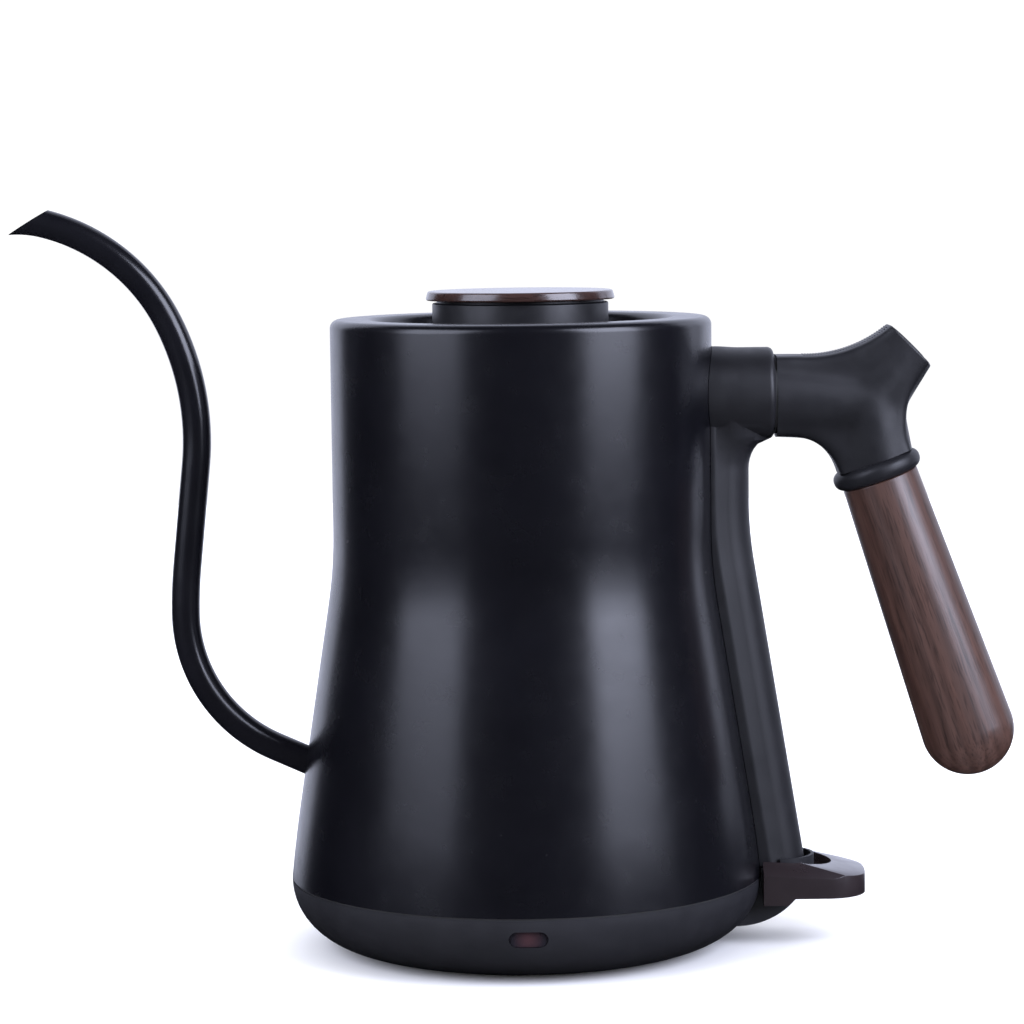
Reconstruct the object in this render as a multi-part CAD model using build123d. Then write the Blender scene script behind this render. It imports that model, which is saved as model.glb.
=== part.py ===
"""Gooseneck electric kettle: painted steel body, swan-neck spout, plastic spine and
yoke, walnut grip, lift-out lid and a rocking switch lever.

Frame: millimetres, +Z up, origin on the body's axis in the plane of the foot ring.
The spout points along -X, the handle along +X and the indicator lamp along -Y.
"""
from build123d import *
import os
from math import atan2, cos, degrees, hypot, radians, sin, tan

# ---------------------------------------------------------------- driving dimensions
BODY_R = 55.0            # straight upper part of the body, outside
SEAM_R = 68.5            # widest part, where the body meets the base cover
SEAM_Z = 20.2
RIM_Z = 182.2            # highest level of the body's top ring
WALL = 0.9               # painted steel
WAIST_Z = 121.0          # lower end of the straight upper part
WAIST_BEND_R = 133.0
FLARE_DEG = 8.85         # slope of the conical part below the waist
HIP_Z = 42.0             # the cone turns in from here to the seam

RIM_EDGE_R = 2.5
SHOULDER_R = 43.0        # inner edge of the flat top ring
WELL_R = 40.4            # recess that the lid lies in
LEDGE_Z = 175.6
MOUTH_R = 36.0           # filling mouth
MOUTH_Z = 166.0

FLOOR_Z = 31.0           # upper face of the heater plate's joint with the vessel
FLOOR_T = 0.8
SPREADER_R, SPREADER_T = 44.0, 3.0
SPREADER_Z = FLOOR_Z - FLOOR_T - SPREADER_T
ELEMENT_R, ELEMENT_W, ELEMENT_H = 36.0, 6.5, 6.0
TAIL_ANGLES = (203.0, 157.0)          # where the element's two tails stand

COVER_T = 2.0            # moulded base cover
COVER_FLAT_R = 46.5      # flat underside, the curved flank starts here
COVER_Z = 0.4
COVER_TOP = 19.8
FOOT_IN_R, FOOT_OUT_R, FOOT_T = 38.0, 44.0, 1.4
SOCKET_R = 19.0          # bore for the power base's connector
SOCKET_WALL = 1.8
SOCKET_DEPTH = 11.0
CONTROL_R = 24.0
CONTROL_Z = SOCKET_DEPTH + COVER_Z + SOCKET_WALL
POST_R, POST_FIRST = 50.5, 30.0       # circle of the three base screws, first angle
SCREW_R = 1.5

LAMP_Z = 14.3            # indicator window, on the front of the base cover
LAMP_W, LAMP_H = 10.9, 4.6

SPOUT_R, SPOUT_WALL = 4.1, 0.7
SPOUT_START = (-60.0, 52.25)          # x, z inside the vessel wall
SPOUT_HEADING = 156.0                 # degrees from +X
SPOUT_ROOT = 14.0                     # straight length at the body
SPOUT_BENDS = (                       # (radius, turn in degrees), or (0, straight length)
    (43.0, 90.0 - SPOUT_HEADING), (132.0, -6.0), (0.0, 30.0), (76.0, 32.0),
    (54.0, 50.0), (32.0, 18.0), (0.0, 4.0))
LIP_TOP, LIP_LOW = (-136.3, 214.2), (-148.2, 207.0)   # x, z of the slanting cut at the lip
FILTER_R, FILTER_HOLE_R, FILTER_PITCH = 8.0, 0.8, 2.4

SPINE_X = 65.6           # outer edge of the spine's straight upper part
SPINE_FOOT = (81.2, 23.4)             # x, z of the outer edge at the foot
SPINE_SLOPE = 9.2        # degrees, of the lower part
SPINE_BEND_R = 112.0
SPINE_R = 9.2            # rounded column
BAND_HALF = 10.4         # flat-sided band against the body
SPINE_WALL = 1.7
COLLAR_R, COLLAR_Z, COLLAR_END = 13.5, 159.5, 72.8
SPIGOT_R, SPIGOT_X, SPIGOT_LENGTH = 6.5, 59.0, 30.0   # steel bar from the bracket into the yoke
LOCK_X = 66.0            # set screw across the spigot
STEAM_Z, STEAM_HOLE_R = 141.0, 2.6    # steam passage through the body's wall

ARM_R, ARM_Z = 11.7, 159.0            # yoke's arm at the collar
YOKE_X = 73.4            # yoke's flat end against the washer
YOKE_WEB = 6.0           # half the thickness of the web that fills the yoke's corners
LEG_R = 11.4
RIB_COUNT, RIB_HALF = 12, 4.6
HORN_END = (111.85, 0, 173.4)
HORN_WAY = (cos(radians(45)), 0, sin(radians(45)))
HORN_CAP_R, HORN_CAP_DEPTH = 6.35, 1.2
CROTCH = (98.5, 0, 156.5)             # where the yoke's arm, horn and leg meet
GRIP_TOP = (103.6, 134.4)             # x, z where the wood meets the ring
GRIP_TILT = 19.06                     # degrees from vertical
GRIP_WAY = (sin(radians(GRIP_TILT)), 0, -cos(radians(GRIP_TILT)))
GRIP_R_TOP, GRIP_R_END = 11.1, 13.5
GRIP_LENGTH = 91.3
RING_R, RING_T = 13.0, 5.4
ROD_R, INSERT_R = 3.0, 4.0            # tie rod and its threaded inserts

LID_R, LID_Z = 39.4, 175.9
KNOB_R, KNOB_TOP = 25.4, 186.6
KNOB_WALL, KNOB_BOSS_R, KNOB_REVEAL = 2.2, 4.6, 1.3
CAP_R, CAP_Z, CAP_T = 27.5, 187.4, 2.6
LINER_R, LINER_Z, LINER_WALL = 34.6, 168.0, 0.6
LID_SCREW_R = 2.0

PIVOT = (71.5, 15.5)                  # x, z of the lever's pin
PIN_R = 1.5
LEVER_START, LEVER_HALF, LEVER_TIP = 68.2, 16.2, 97.9
LEVER_Z, LEVER_HEEL_Z = 14.1, 12.2    # flat underside, and that of the arms
LEVER_HOLE_R, LEVER_HOLE_X = 12.5, 76.5
HOUSING_X, HOUSING_R = 73.4, 10.6
LIP_Z, LIP_T = 24.8, 0.9
TRIP_PIVOT, TRIP_PIN_R = (48.0, 15.4), 1.0
FORK_X = 61.0            # tip of the trip lever, in the crank's fork
SENSOR_X = 74.0          # steam disc, at the foot of the spine


# ---------------------------------------------------------------- small helpers
def rod(radius, length, base, direction):
    """A cylinder of the given length that starts at base and points along direction."""
    plane = Plane(origin=base, z_dir=direction)
    return plane * Cylinder(radius, length, align=(Align.CENTER, Align.CENTER, Align.MIN))


def disc(radius, z_low, z_high, x=0.0, y=0.0):
    """An upright cylinder between two levels."""
    return rod(radius, z_high - z_low, (x, y, z_low), (0, 0, 1))


def ring(outer, inner, z_low, z_high, x=0.0, y=0.0):
    """A flat ring between two levels."""
    return disc(outer, z_low, z_high, x, y) - disc(inner, z_low - 1, z_high + 1, x, y)


def block(x, y, z):
    """A box from three (low, high) pairs."""
    box = Box(x[1] - x[0], y[1] - y[0], z[1] - z[0])
    return Pos((x[0] + x[1]) / 2, (y[0] + y[1]) / 2, (z[0] + z[1]) / 2) * box


def turned(line):
    """Turn a closed outline in the XZ plane about the body's axis."""
    return revolve(make_face(line), Axis.Z)


def outline(*points):
    """A closed polygon in the XZ plane, from (x, z) points."""
    return Polyline(*[(x, 0, z) for x, z in points], close=True)


def slab(line, half_width):
    """A plate as thick as twice half_width, from a closed outline in the XZ plane."""
    face = make_face(line)
    return extrude(face, half_width, dir=(0, 1, 0), both=True)


def post_places():
    """x, y of the three base screws, equally spaced about the body's axis."""
    angles = [radians(POST_FIRST + i * 120.0) for i in range(3)]
    return [(POST_R * cos(a), POST_R * sin(a)) for a in angles]


# ---------------------------------------------------------------- body
def body_profile(inset=0.0):
    """The body's outline in the XZ plane from the seam to the rim, moved in by inset."""
    turn = radians(FLARE_DEG)
    r_top = BODY_R - inset
    bend = WAIST_BEND_R + inset
    waist_end = (r_top + bend * (1 - cos(turn)), WAIST_Z - bend * sin(turn))
    hip_z = HIP_Z - inset * sin(turn)
    hip_r = waist_end[0] + (waist_end[1] - hip_z) * tan(turn)
    up = (-sin(turn), 0, cos(turn))
    hip = TangentArc((hip_r, 0, hip_z), (SEAM_R - inset, 0, SEAM_Z + 0.2), tangent=(-up[0], 0, -up[2]))
    cone = Line((hip_r, 0, hip_z), (waist_end[0], 0, waist_end[1]))
    waist = TangentArc(cone @ 1, (r_top, 0, WAIST_Z), tangent=up)
    return hip, cone, waist


def body_outer_solid():
    """Everything inside the body's outer surface, up to the rim."""
    hip, cone, waist = body_profile()
    top = Polyline(waist @ 1, (BODY_R, 0, RIM_Z), (0, 0, RIM_Z), (0, 0, SEAM_Z + 0.2), hip @ 1)
    return turned(hip + cone + waist + top)


def body_inner_solid():
    """The space inside the body's wall, from the seam up to below the top ring."""
    hip, cone, waist = body_profile(WALL)
    high = RIM_Z - WALL - RIM_EDGE_R
    top = Polyline(waist @ 1, (BODY_R - WALL, 0, high), (0, 0, high), (0, 0, SEAM_Z + 0.2), hip @ 1)
    return turned(hip + cone + waist + top)


def top_ring(inset):
    """The rim, flat ring, recess and mouth as one filleted line; inset moves it into the metal."""
    points = [
        (BODY_R - inset, 0, WAIST_Z),
        (BODY_R - inset, 0, RIM_Z - inset),
        (SHOULDER_R + inset, 0, RIM_Z - inset),
        (WELL_R + inset, 0, LEDGE_Z - inset),
        (MOUTH_R + inset, 0, LEDGE_Z - inset),
        (MOUTH_R + inset, 0, MOUTH_Z),
    ]
    radii = [RIM_EDGE_R - inset, 3.0 - inset, 1.2 + inset, 1.4 - inset]
    return FilletPolyline(*points, radius=radii)


def body_vessel():
    """Painted steel body with its spun top ring, lid recess and mouth."""
    shells = []
    for inset in (0.0, WALL):
        hip, cone, waist = body_profile(inset)
        shells.append(hip + cone + waist + top_ring(inset))
    outer, inner = shells
    hip_out, hip_in = body_profile(0.0)[0] @ 1, body_profile(WALL)[0] @ 1
    ends = Line(hip_out, hip_in) + Line((MOUTH_R, 0, MOUTH_Z), (MOUTH_R + WALL, 0, MOUTH_Z))
    shell = turned(outer + inner + ends)
    shell -= rod(STEAM_HOLE_R, 12, (BODY_R - 7, 0, STEAM_Z), (1, 0, 0))
    return shell - spout_core(SPOUT_R)


# ---------------------------------------------------------------- spout
def spout_path():
    """Centre line of the spout: tangent arcs from the vessel wall to the lip."""
    x, z = SPOUT_START
    heading = radians(SPOUT_HEADING)
    path = [Line((x, z), (x + SPOUT_ROOT * cos(heading), z + SPOUT_ROOT * sin(heading)))]
    for radius, amount in SPOUT_BENDS:
        end, way = path[-1] @ 1, path[-1] % 1
        if radius:
            path.append(JernArc(end, way, radius, amount))
        else:
            path.append(Line(end, end + way * amount))
    return Plane.XZ.location * Wire(path)


def spout_core(radius):
    """A solid bar along the spout's centre line."""
    path = spout_path()
    section = Plane(origin=path @ 0, z_dir=path % 0) * Circle(radius)
    return sweep(section, path)


def spout_tube():
    """The bent tube, trimmed to the vessel wall and cut to a pouring lip."""
    tube = spout_core(SPOUT_R) - spout_core(SPOUT_R - SPOUT_WALL)
    slope = degrees(atan2(LIP_TOP[1] - LIP_LOW[1], LIP_TOP[0] - LIP_LOW[0]))
    knife = Box(60, 40, 30, align=(Align.CENTER, Align.CENTER, Align.MIN))
    mid = ((LIP_TOP[0] + LIP_LOW[0]) / 2, 0, (LIP_TOP[1] + LIP_LOW[1]) / 2)
    tube -= Pos(*mid) * Rot(0, -slope, 0) * knife
    return tube - body_inner_solid()


def spout_filter():
    """Perforated strainer cup over the spout's root, inside the vessel."""
    heading = radians(SPOUT_HEADING)
    way = Vector(cos(heading), 0, sin(heading))
    root = Vector(SPOUT_START[0], 0, SPOUT_START[1])
    cup = rod(FILTER_R, 12, root - way * 3, way) - rod(FILTER_R - 0.7, 12, root - way * 2.2, way)
    for row in range(-2, 3):
        for col in range(-2, 3):
            if hypot(row, col) < 2.5:
                side = Vector(0, 1, 0) * (row * FILTER_PITCH)
                lift = way.cross(Vector(0, 1, 0)) * (col * FILTER_PITCH)
                cup -= rod(FILTER_HOLE_R, 3, root - way * 4 + side + lift, way)
    return cup & body_inner_solid()


# ---------------------------------------------------------------- heater
def vessel_floor():
    """Stainless heater plate that closes the bottom of the vessel."""
    return disc(80, FLOOR_Z - FLOOR_T, FLOOR_Z) & body_inner_solid()


def heating_element():
    """Ring element brazed under the spreader, with two upright terminal tails."""
    section = Pos(ELEMENT_R, 0, SPREADER_Z - ELEMENT_H / 2) * Rot(90, 0, 0)
    section *= RectangleRounded(ELEMENT_W, ELEMENT_H, 1.8)
    body = Rot(0, 0, 200) * revolve(section, Axis.Z, 320)
    for angle in TAIL_ANGLES:
        x, y = ELEMENT_R * cos(radians(angle)), ELEMENT_R * sin(radians(angle))
        body += disc(1.8, 15.5, SPREADER_Z - ELEMENT_H / 2, x, y)
    return body


def terminal_straps():
    """Brass straps from the element's tails to the control."""
    straps = []
    for angle in TAIL_ANGLES:
        strap = block((CONTROL_R, ELEMENT_R + 3), (-2.6, 2.6), (16.0, 16.8))
        strap -= disc(1.9, 14, 18, ELEMENT_R)
        straps.append(Rot(0, 0, angle) * strap)
    return straps


def floor_standoffs():
    """Threaded posts welded under the heater plate for the base screws."""
    posts = []
    for x, y in post_places():
        posts.append(disc(3.0, 12.0, FLOOR_Z - FLOOR_T, x, y) - disc(SCREW_R, 11, 20, x, y))
    return posts


# ---------------------------------------------------------------- control and socket
def power_socket():
    """Round cordless socket: bore wall, roof and two rings that guide the plug."""
    roof = SOCKET_DEPTH + COVER_Z
    cup = disc(SOCKET_R + SOCKET_WALL, COVER_Z, roof + SOCKET_WALL) - disc(SOCKET_R, 0, roof)
    cup += ring(12.6, 11.4, 2.4, roof)
    cup += ring(6.2, 5.0, 2.4, roof)
    return cup


def socket_contacts():
    """Three sprung brass contacts: outer ring, inner ring and centre tube."""
    roof = SOCKET_DEPTH + COVER_Z
    return [ring(13.2, 12.6, 4.0, roof), ring(6.8, 6.2, 4.0, roof), ring(2.4, 1.6, 3.4, roof)]


def control_unit():
    """Switch control above the socket, with a bay for the trip lever."""
    body = disc(CONTROL_R, CONTROL_Z, 20.4) + disc(18.5, 20.3, SPREADER_Z - 0.6)
    body += block((18, 52), (-7, 7), (CONTROL_Z, 20.4))
    body -= block((40, 53), (-2.6, 2.6), (CONTROL_Z - 1, 21))
    body -= rod(TRIP_PIN_R, 20, (TRIP_PIVOT[0], -10, TRIP_PIVOT[1]), (0, 1, 0))
    return body


def bimetal_discs():
    """Two snap discs that sense the plate running dry."""
    return [disc(8.4, SPREADER_Z - 0.5, SPREADER_Z, x) for x in (-9.2, 9.2)]


def trip_pin():
    """Pin of the trip lever, pressed through the control's bay."""
    return rod(TRIP_PIN_R, 13, (TRIP_PIVOT[0], -6.5, TRIP_PIVOT[1]), (0, 1, 0))


def trip_lever():
    """Rocker in the control that the crank lifts."""
    x, z = TRIP_PIVOT
    arm = rod(2.4, 4.0, (x, -2.0, z), (0, 1, 0))
    arm += block((x, FORK_X + 1.0), (-2.0, 2.0), (z - 0.8, z + 0.8))
    return arm - rod(TRIP_PIN_R + 0.06, 6, (x, -3, z), (0, 1, 0))


# ---------------------------------------------------------------- base
def flank(inset, turn=90):
    """Quarter ellipse of the base cover's side, moved in by inset, or a shorter turn of it."""
    arc = EllipticalCenterArc(
        (COVER_FLAT_R, COVER_TOP), SEAM_R - COVER_FLAT_R - inset, COVER_TOP - COVER_Z - inset,
        start_angle=-90, arc_size=turn)
    return Plane.XZ.location * arc


def cover_shell():
    """The bowl of the base cover with its locating lip inside the body."""
    outer, inner = flank(0.0), flank(COVER_T, 80)
    hole = SOCKET_R + SOCKET_WALL
    lip_out, lip_in = SEAM_R - 2.6, SEAM_R - 4.2
    line = outer + Polyline(
        outer @ 1, (lip_out, 0, COVER_TOP), (lip_out, 0, 24), (lip_in, 0, 24),
        (lip_in, 0, 17.6), inner @ 1) + inner
    line += Polyline(inner @ 0, (hole, 0, COVER_Z + COVER_T), (hole, 0, COVER_Z), outer @ 0)
    return turned(line)


def housing_outline(inset):
    """Side outline of the lever housing, closed at the lip."""
    start, mid, end = (60.0, 5.2 + inset), (71.5, 7.9 + inset), (78.2 - inset, 13.2)
    chin = ThreePointArc((start[0], 0, start[1]), (mid[0], 0, mid[1]), (end[0], 0, end[1]))
    rear = HOUSING_X + HOUSING_R - inset
    rest = Polyline(chin @ 1, (rear, 0, 20.0), (rear, 0, LIP_Z + inset), (60, 0, LIP_Z + inset), chin @ 0)
    return chin + rest


def housing(inset):
    """The lever housing's outer shape, or its cavity when inset is a wall thickness."""
    radius = HOUSING_R - inset
    plan = disc(radius, 0, 30, HOUSING_X) + block((50, HOUSING_X), (-radius, radius), (0, 30))
    return slab(housing_outline(inset), 20) & plan


def base_cover():
    """Moulded base: bowl, lever housing with its lip, lamp window and screw posts."""
    cover = cover_shell()
    wall = flank(COVER_T / 2)
    bowl = turned(wall + Polyline(wall @ 1, (0, 0, COVER_TOP), (0, 0, COVER_Z + COVER_T / 2), wall @ 0))
    shape = housing(0.0) - bowl - disc(SEAM_R + 0.1, COVER_TOP - 0.3, 30)
    shape -= block((50, HOUSING_X), (-20, 20), (22.2, 30))
    cover += shape
    cover -= housing(LIP_T) - disc(SEAM_R - COVER_T, 0, 30)
    cover -= block((55, HOUSING_X), (-4.6, 4.6), (9.4, 19.0))
    cover -= rod(PIN_R + 0.05, 60, (PIVOT[0], -30, PIVOT[1]), (0, 1, 0))
    for x, y in post_places():
        cover += disc(4.6, 2.2, 12.0, x, y)
        cover -= disc(3.2, 0, 4.0, x, y)
        cover -= disc(SCREW_R + 0.2, 0, 14, x, y)
    cover -= window(LAMP_W, LAMP_H, 8)
    rib = block((10.2, 12.2), (-63.4, -58.2), (10.2, 18.4))
    cover += rib + mirror(rib, Plane.YZ)
    return cover - ring(FOOT_OUT_R, FOOT_IN_R, -1, FOOT_T)


def window(width, height, depth):
    """A stadium-shaped plug through the front of the base cover."""
    face = Plane.XZ.offset(SEAM_R) * Pos(0, LAMP_Z) * SlotOverall(width, height)
    return extrude(face, -depth)


def indicator_lens():
    """Dark glossy lens set back in the window."""
    face = Plane.XZ.offset(SEAM_R - 1.7) * Pos(0, LAMP_Z) * SlotOverall(LAMP_W, LAMP_H)
    return extrude(face, -2.2)


def lamp_board():
    """Small circuit board behind the lens, between the two ribs."""
    return block((-10.2, 10.2), (-61.4, -59.8), (10.2, 18.4))


def lamp_led():
    """Red light-emitting diode on the board."""
    return rod(1.5, 1.6, (0, -61.4, LAMP_Z), (0, -1, 0)) + Pos(0, -63.0, LAMP_Z) * Sphere(1.5)


def lamp_wires():
    """Two insulated wires from the board to the control."""
    wires = []
    for x in (-6.0, 6.0):
        corners = [(x, -59.8, 12.4), (x, -46.0, 12.4), (x, -32.0, 17.0), (x, -23.4, 17.0)]
        path = FilletPolyline(*corners, radius=9)
        wires.append(sweep(Plane(origin=path @ 0, z_dir=path % 0) * Circle(0.6), path))
    return wires


def base_seal():
    """Silicone gasket that fills the seam between body and base."""
    return ring(SEAM_R - 0.35, SEAM_R - 2.4, COVER_TOP, SEAM_Z + 0.2)


def foot_ring():
    """Anti-slip ring in the underside; its lower face is the resting plane."""
    return ring(FOOT_OUT_R, FOOT_IN_R, 0, FOOT_T)


def base_screws():
    """Pan-head screws that hold the cover to the standoffs."""
    screws = []
    for x, y in post_places():
        head = disc(2.8, 1.9, 4.0, x, y) - disc(1.0, 1, 3.0, x, y)
        screws.append(head + disc(SCREW_R - 0.05, 4.0, 18.0, x, y))
    return screws


# ---------------------------------------------------------------- lever
def switch_lever():
    """Fork-shaped paddle: two arms round the housing joined by a sloping thumb plate."""
    centre_x = LEVER_TIP - LEVER_HALF
    plan = disc(LEVER_HALF, 0, 40, centre_x)
    plan += block((LEVER_START, centre_x), (-LEVER_HALF, LEVER_HALF), (0, 40))
    side = outline((LEVER_START, LEVER_HEEL_Z), (75.5, LEVER_HEEL_Z), (77.4, LEVER_Z), (99, LEVER_Z),
                   (99, 20.2), (LEVER_START, 24.4))
    paddle = slab(side, 20) & plan
    paddle -= disc(LEVER_HOLE_R, 0, 40, LEVER_HOLE_X)
    paddle -= block((60, LEVER_HOLE_X), (-LEVER_HOLE_R, LEVER_HOLE_R), (0, 40))
    return paddle - rod(PIN_R, 60, (PIVOT[0], -30, PIVOT[1]), (0, 1, 0))


def lever_pin():
    """Steel cross pin that turns with the lever."""
    return rod(PIN_R, 31.6, (PIVOT[0], -15.8, PIVOT[1]), (0, 1, 0))


def lever_crank():
    """Crank on the pin whose fork works the trip lever."""
    x, z = PIVOT
    crank = rod(2.9, 7.0, (x, -3.5, z), (0, 1, 0))
    crank += block((FORK_X - 1.0, x), (-3.5, 3.5), (z - 2.8, z + 2.2))
    crank -= block((FORK_X - 2.0, FORK_X + 4.0), (-4, 4), (TRIP_PIVOT[1] - 1.5, TRIP_PIVOT[1] + 1.5))
    return crank - rod(PIN_R, 9, (x, -4.5, z), (0, 1, 0))


def return_leaf():
    """Leaf spring from the housing's wall over the pin, which holds the crank's arm down."""
    line = outline((67.6, 18.55), (72, 18.8), (82.7, 21.8), (82.7, 22.15), (72, 19.15), (67.6, 18.9))
    return slab(line, 2.0)


# ---------------------------------------------------------------- spine
def spine_path():
    """Outer edge of the spine, down from inside the collar to the foot."""
    knee = SPINE_FOOT[1] + (SPINE_FOOT[0] - SPINE_X) / tan(radians(SPINE_SLOPE))
    corners = [(SPINE_X, 0, 158), (SPINE_X, 0, knee), (SPINE_FOOT[0], 0, SPINE_FOOT[1])]
    return FilletPolyline(*corners, radius=SPINE_BEND_R)


def spine_bar(inset):
    """The spine as a solid bar, its section moved in by inset."""
    path = spine_path()
    radius, half = SPINE_R - inset, BAND_HALF - inset
    section = Pos(-SPINE_R, 0) * Circle(radius) + Pos(-SPINE_R - 7, 0) * Rectangle(14, 2 * half)
    section = Plane(origin=path @ 0, x_dir=(1, 0, 0), z_dir=(0, 0, -1)) * section
    return sweep(section, path)


def spine_shell():
    """Hollow spine with its barrel collar, fitted against the body."""
    collar = rod(COLLAR_R, COLLAR_END - 45, (45, 0, COLLAR_Z), (1, 0, 0))
    collar = fillet(collar.edges().sort_by(Axis.X)[-1], 1.8)
    shell = collar + spine_bar(0.0) - spine_bar(SPINE_WALL)
    shell -= rod(COLLAR_R - 2.0, 40, (30, 0, COLLAR_Z), (1, 0, 0))
    shell -= rod(SPIGOT_R + 0.05, 10, (68, 0, COLLAR_Z), (1, 0, 0))
    shell -= body_outer_solid()
    shell -= block((50, 90), (-20, 20), (0, 22.4))
    shell -= rod(2.05, 12, (LOCK_X, 4, COLLAR_Z), (0, 1, 0))
    return shell


def handle_bracket():
    """Steel saddle welded to the body with the socket that takes the spigot."""
    saddle = ring(BODY_R + 1.6, BODY_R, COLLAR_Z - 10, COLLAR_Z + 10) & block((40, 60), (-5, 5), (100, 200))
    tube = rod(8.6, 11.8, (BODY_R + 1.0, 0, COLLAR_Z), (1, 0, 0)) - disc(BODY_R + 1.6, 140, 180)
    tube -= rod(SPIGOT_R + 0.05, 30, (BODY_R + 2.4, 0, COLLAR_Z), (1, 0, 0))
    return saddle + tube - rod(2.0, 12, (LOCK_X, 4, COLLAR_Z), (0, 1, 0))


def neck_spigot():
    """Steel bar that joins the yoke to the bracket."""
    bar = rod(SPIGOT_R, SPIGOT_LENGTH, (SPIGOT_X, 0, COLLAR_Z), (1, 0, 0))
    return bar - rod(1.9, 4, (LOCK_X, 4.4, COLLAR_Z), (0, 1, 0))


def lock_screw():
    """Set screw through the back of the collar into the spigot."""
    screw = rod(1.9, 7.4, (LOCK_X, 4.6, COLLAR_Z), (0, 1, 0))
    return screw - rod(1.0, 2, (LOCK_X, 10.5, COLLAR_Z), (0, 1, 0))


def steam_port():
    """Silicone grommet in the body wall that leads steam into the spine."""
    port = rod(STEAM_HOLE_R - 0.1, 3.6, (BODY_R - 1.6, 0, STEAM_Z), (1, 0, 0))
    port += rod(4.0, 1.2, (BODY_R + 0.1, 0, STEAM_Z), (1, 0, 0))
    return port - rod(1.6, 12, (BODY_R - 6, 0, STEAM_Z), (1, 0, 0))


def steam_tube():
    """Tube inside the spine that carries steam down to the sensor at its foot."""
    start, knee, end = (59.2, 0, 136.5), (59.2, 0, 116.5), (73.0, 0, 27.0)
    path = FilletPolyline(start, knee, end, radius=60)
    section = Plane(origin=path @ 0, z_dir=path % 0)
    return sweep(section * Circle(2.4), path) - sweep(section * Circle(1.6), path)


def steam_disc():
    """Snap disc at the foot of the steam tube that senses boiling."""
    return disc(3.6, 24.4, 24.8, SENSOR_X)


def sensor_cup():
    """Holder of the steam disc, clipped in the housing's mouth."""
    return ring(4.9, 3.2, 22.6, 24.4, SENSOR_X)


# ---------------------------------------------------------------- handle
def grip_point(distance):
    """A point on the grip's axis, at a distance below the top of the wood."""
    return (GRIP_TOP[0] + GRIP_WAY[0] * distance, 0, GRIP_TOP[1] + GRIP_WAY[2] * distance)


def cone_between(start, end, r_start, r_end):
    """A tapered round bar from start to end."""
    way = Vector(*end) - Vector(*start)
    bar = Cone(r_start, r_end, way.length, align=(Align.CENTER, Align.CENTER, Align.MIN))
    return Plane(origin=start, z_dir=way) * bar


def thumb_rest():
    """Concave upper edge of the yoke, from the arm up to the horn."""
    return ThreePointArc((84.0, 0, 170.6), (96.6, 0, 173.2), horn_corner(1))


def horn_corner(side):
    """Upper (+1) or lower (-1) corner of the web just inside the horn's end."""
    half, back = 7.9 * cos(radians(45)) * side, 0.3 * cos(radians(45))
    return (HORN_END[0] - half - back, 0, HORN_END[2] + half - back)


def yoke_outline():
    """Side outline of the yoke: arm, concave thumb rest, blunt horn, waist and leg."""
    leg = grip_point(-RING_T)
    across = (LEG_R * cos(radians(GRIP_TILT)), LEG_R * sin(radians(GRIP_TILT)))
    leg_right = (leg[0] + across[0], 0, leg[2] + across[1])
    leg_left = (leg[0] - across[0], 0, leg[2] - across[1])
    thumb = thumb_rest()
    horn = Line(thumb @ 1, horn_corner(-1))
    back = ThreePointArc(horn @ 1, (111.4, 0, 153.0), leg_right)
    foot = Line(leg_right, leg_left)
    crook = ThreePointArc(leg_left, (86.9, 0, 143.2), (78.0, 0, 147.4))
    arm = Polyline(crook @ 1, (YOKE_X, 0, 147.4), (YOKE_X, 0, 170.6), thumb @ 0)
    return thumb + horn + back + foot + crook + arm


def handle_neck():
    """Moulded yoke: arm from the collar, blunt horn for the thumb and leg to the grip."""
    leg_end = grip_point(-RING_T)
    horn_past = Vector(*HORN_END) + Vector(*HORN_WAY)
    neck = cone_between((70.0, 0, ARM_Z + 0.6), CROTCH, ARM_R - 0.1, 12.0)
    neck += Pos(*CROTCH) * Sphere(13.0)
    neck += cone_between(CROTCH, horn_past, 12.2, 8.2)
    neck += cone_between(CROTCH, grip_point(0), 12.0, LEG_R)
    neck += slab(yoke_outline(), YOKE_WEB)
    for step in range(RIB_COUNT):
        point = thumb_rest() @ (0.04 + 0.92 * step / (RIB_COUNT - 1))
        neck += rod(0.4, 2 * RIB_HALF, (point.X, -RIB_HALF, point.Z), (0, 1, 0))
    neck -= block((60, YOKE_X), (-20, 20), (130, 190))
    neck -= rod(30, 20, leg_end, GRIP_WAY) + rod(20, 10, HORN_END, HORN_WAY)
    neck -= rod(SPIGOT_R, SPIGOT_X + SPIGOT_LENGTH - 72.0, (72.0, 0, COLLAR_Z), (1, 0, 0))
    neck -= rod(INSERT_R, 16.0, leg_end, [-c for c in GRIP_WAY])
    return neck - rod(HORN_CAP_R, HORN_CAP_DEPTH, horn_cap_base(), HORN_WAY)


def horn_cap_base():
    """Middle of the pocket that holds the horn's cap."""
    return Vector(*HORN_END) - Vector(*HORN_WAY) * HORN_CAP_DEPTH


def horn_cap():
    """Round cap pressed into the end of the horn."""
    return rod(HORN_CAP_R, HORN_CAP_DEPTH + 0.3, horn_cap_base(), HORN_WAY)


def neck_gasket():
    """Thin rubber washer between the collar and the yoke."""
    washer = rod(11.2, 0.6, (COLLAR_END, 0, ARM_Z), (1, 0, 0))
    return washer - rod(6.6, 2, (COLLAR_END - 1, 0, COLLAR_Z), (1, 0, 0))


def grip_ring():
    """Rounded bead between the yoke and the wood."""
    bead = rod(RING_R, RING_T, grip_point(-RING_T), GRIP_WAY)
    bead = fillet(bead.edges(), RING_T / 2 - 0.15)
    return bead - rod(INSERT_R + 0.1, 12, grip_point(-9), GRIP_WAY)


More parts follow.
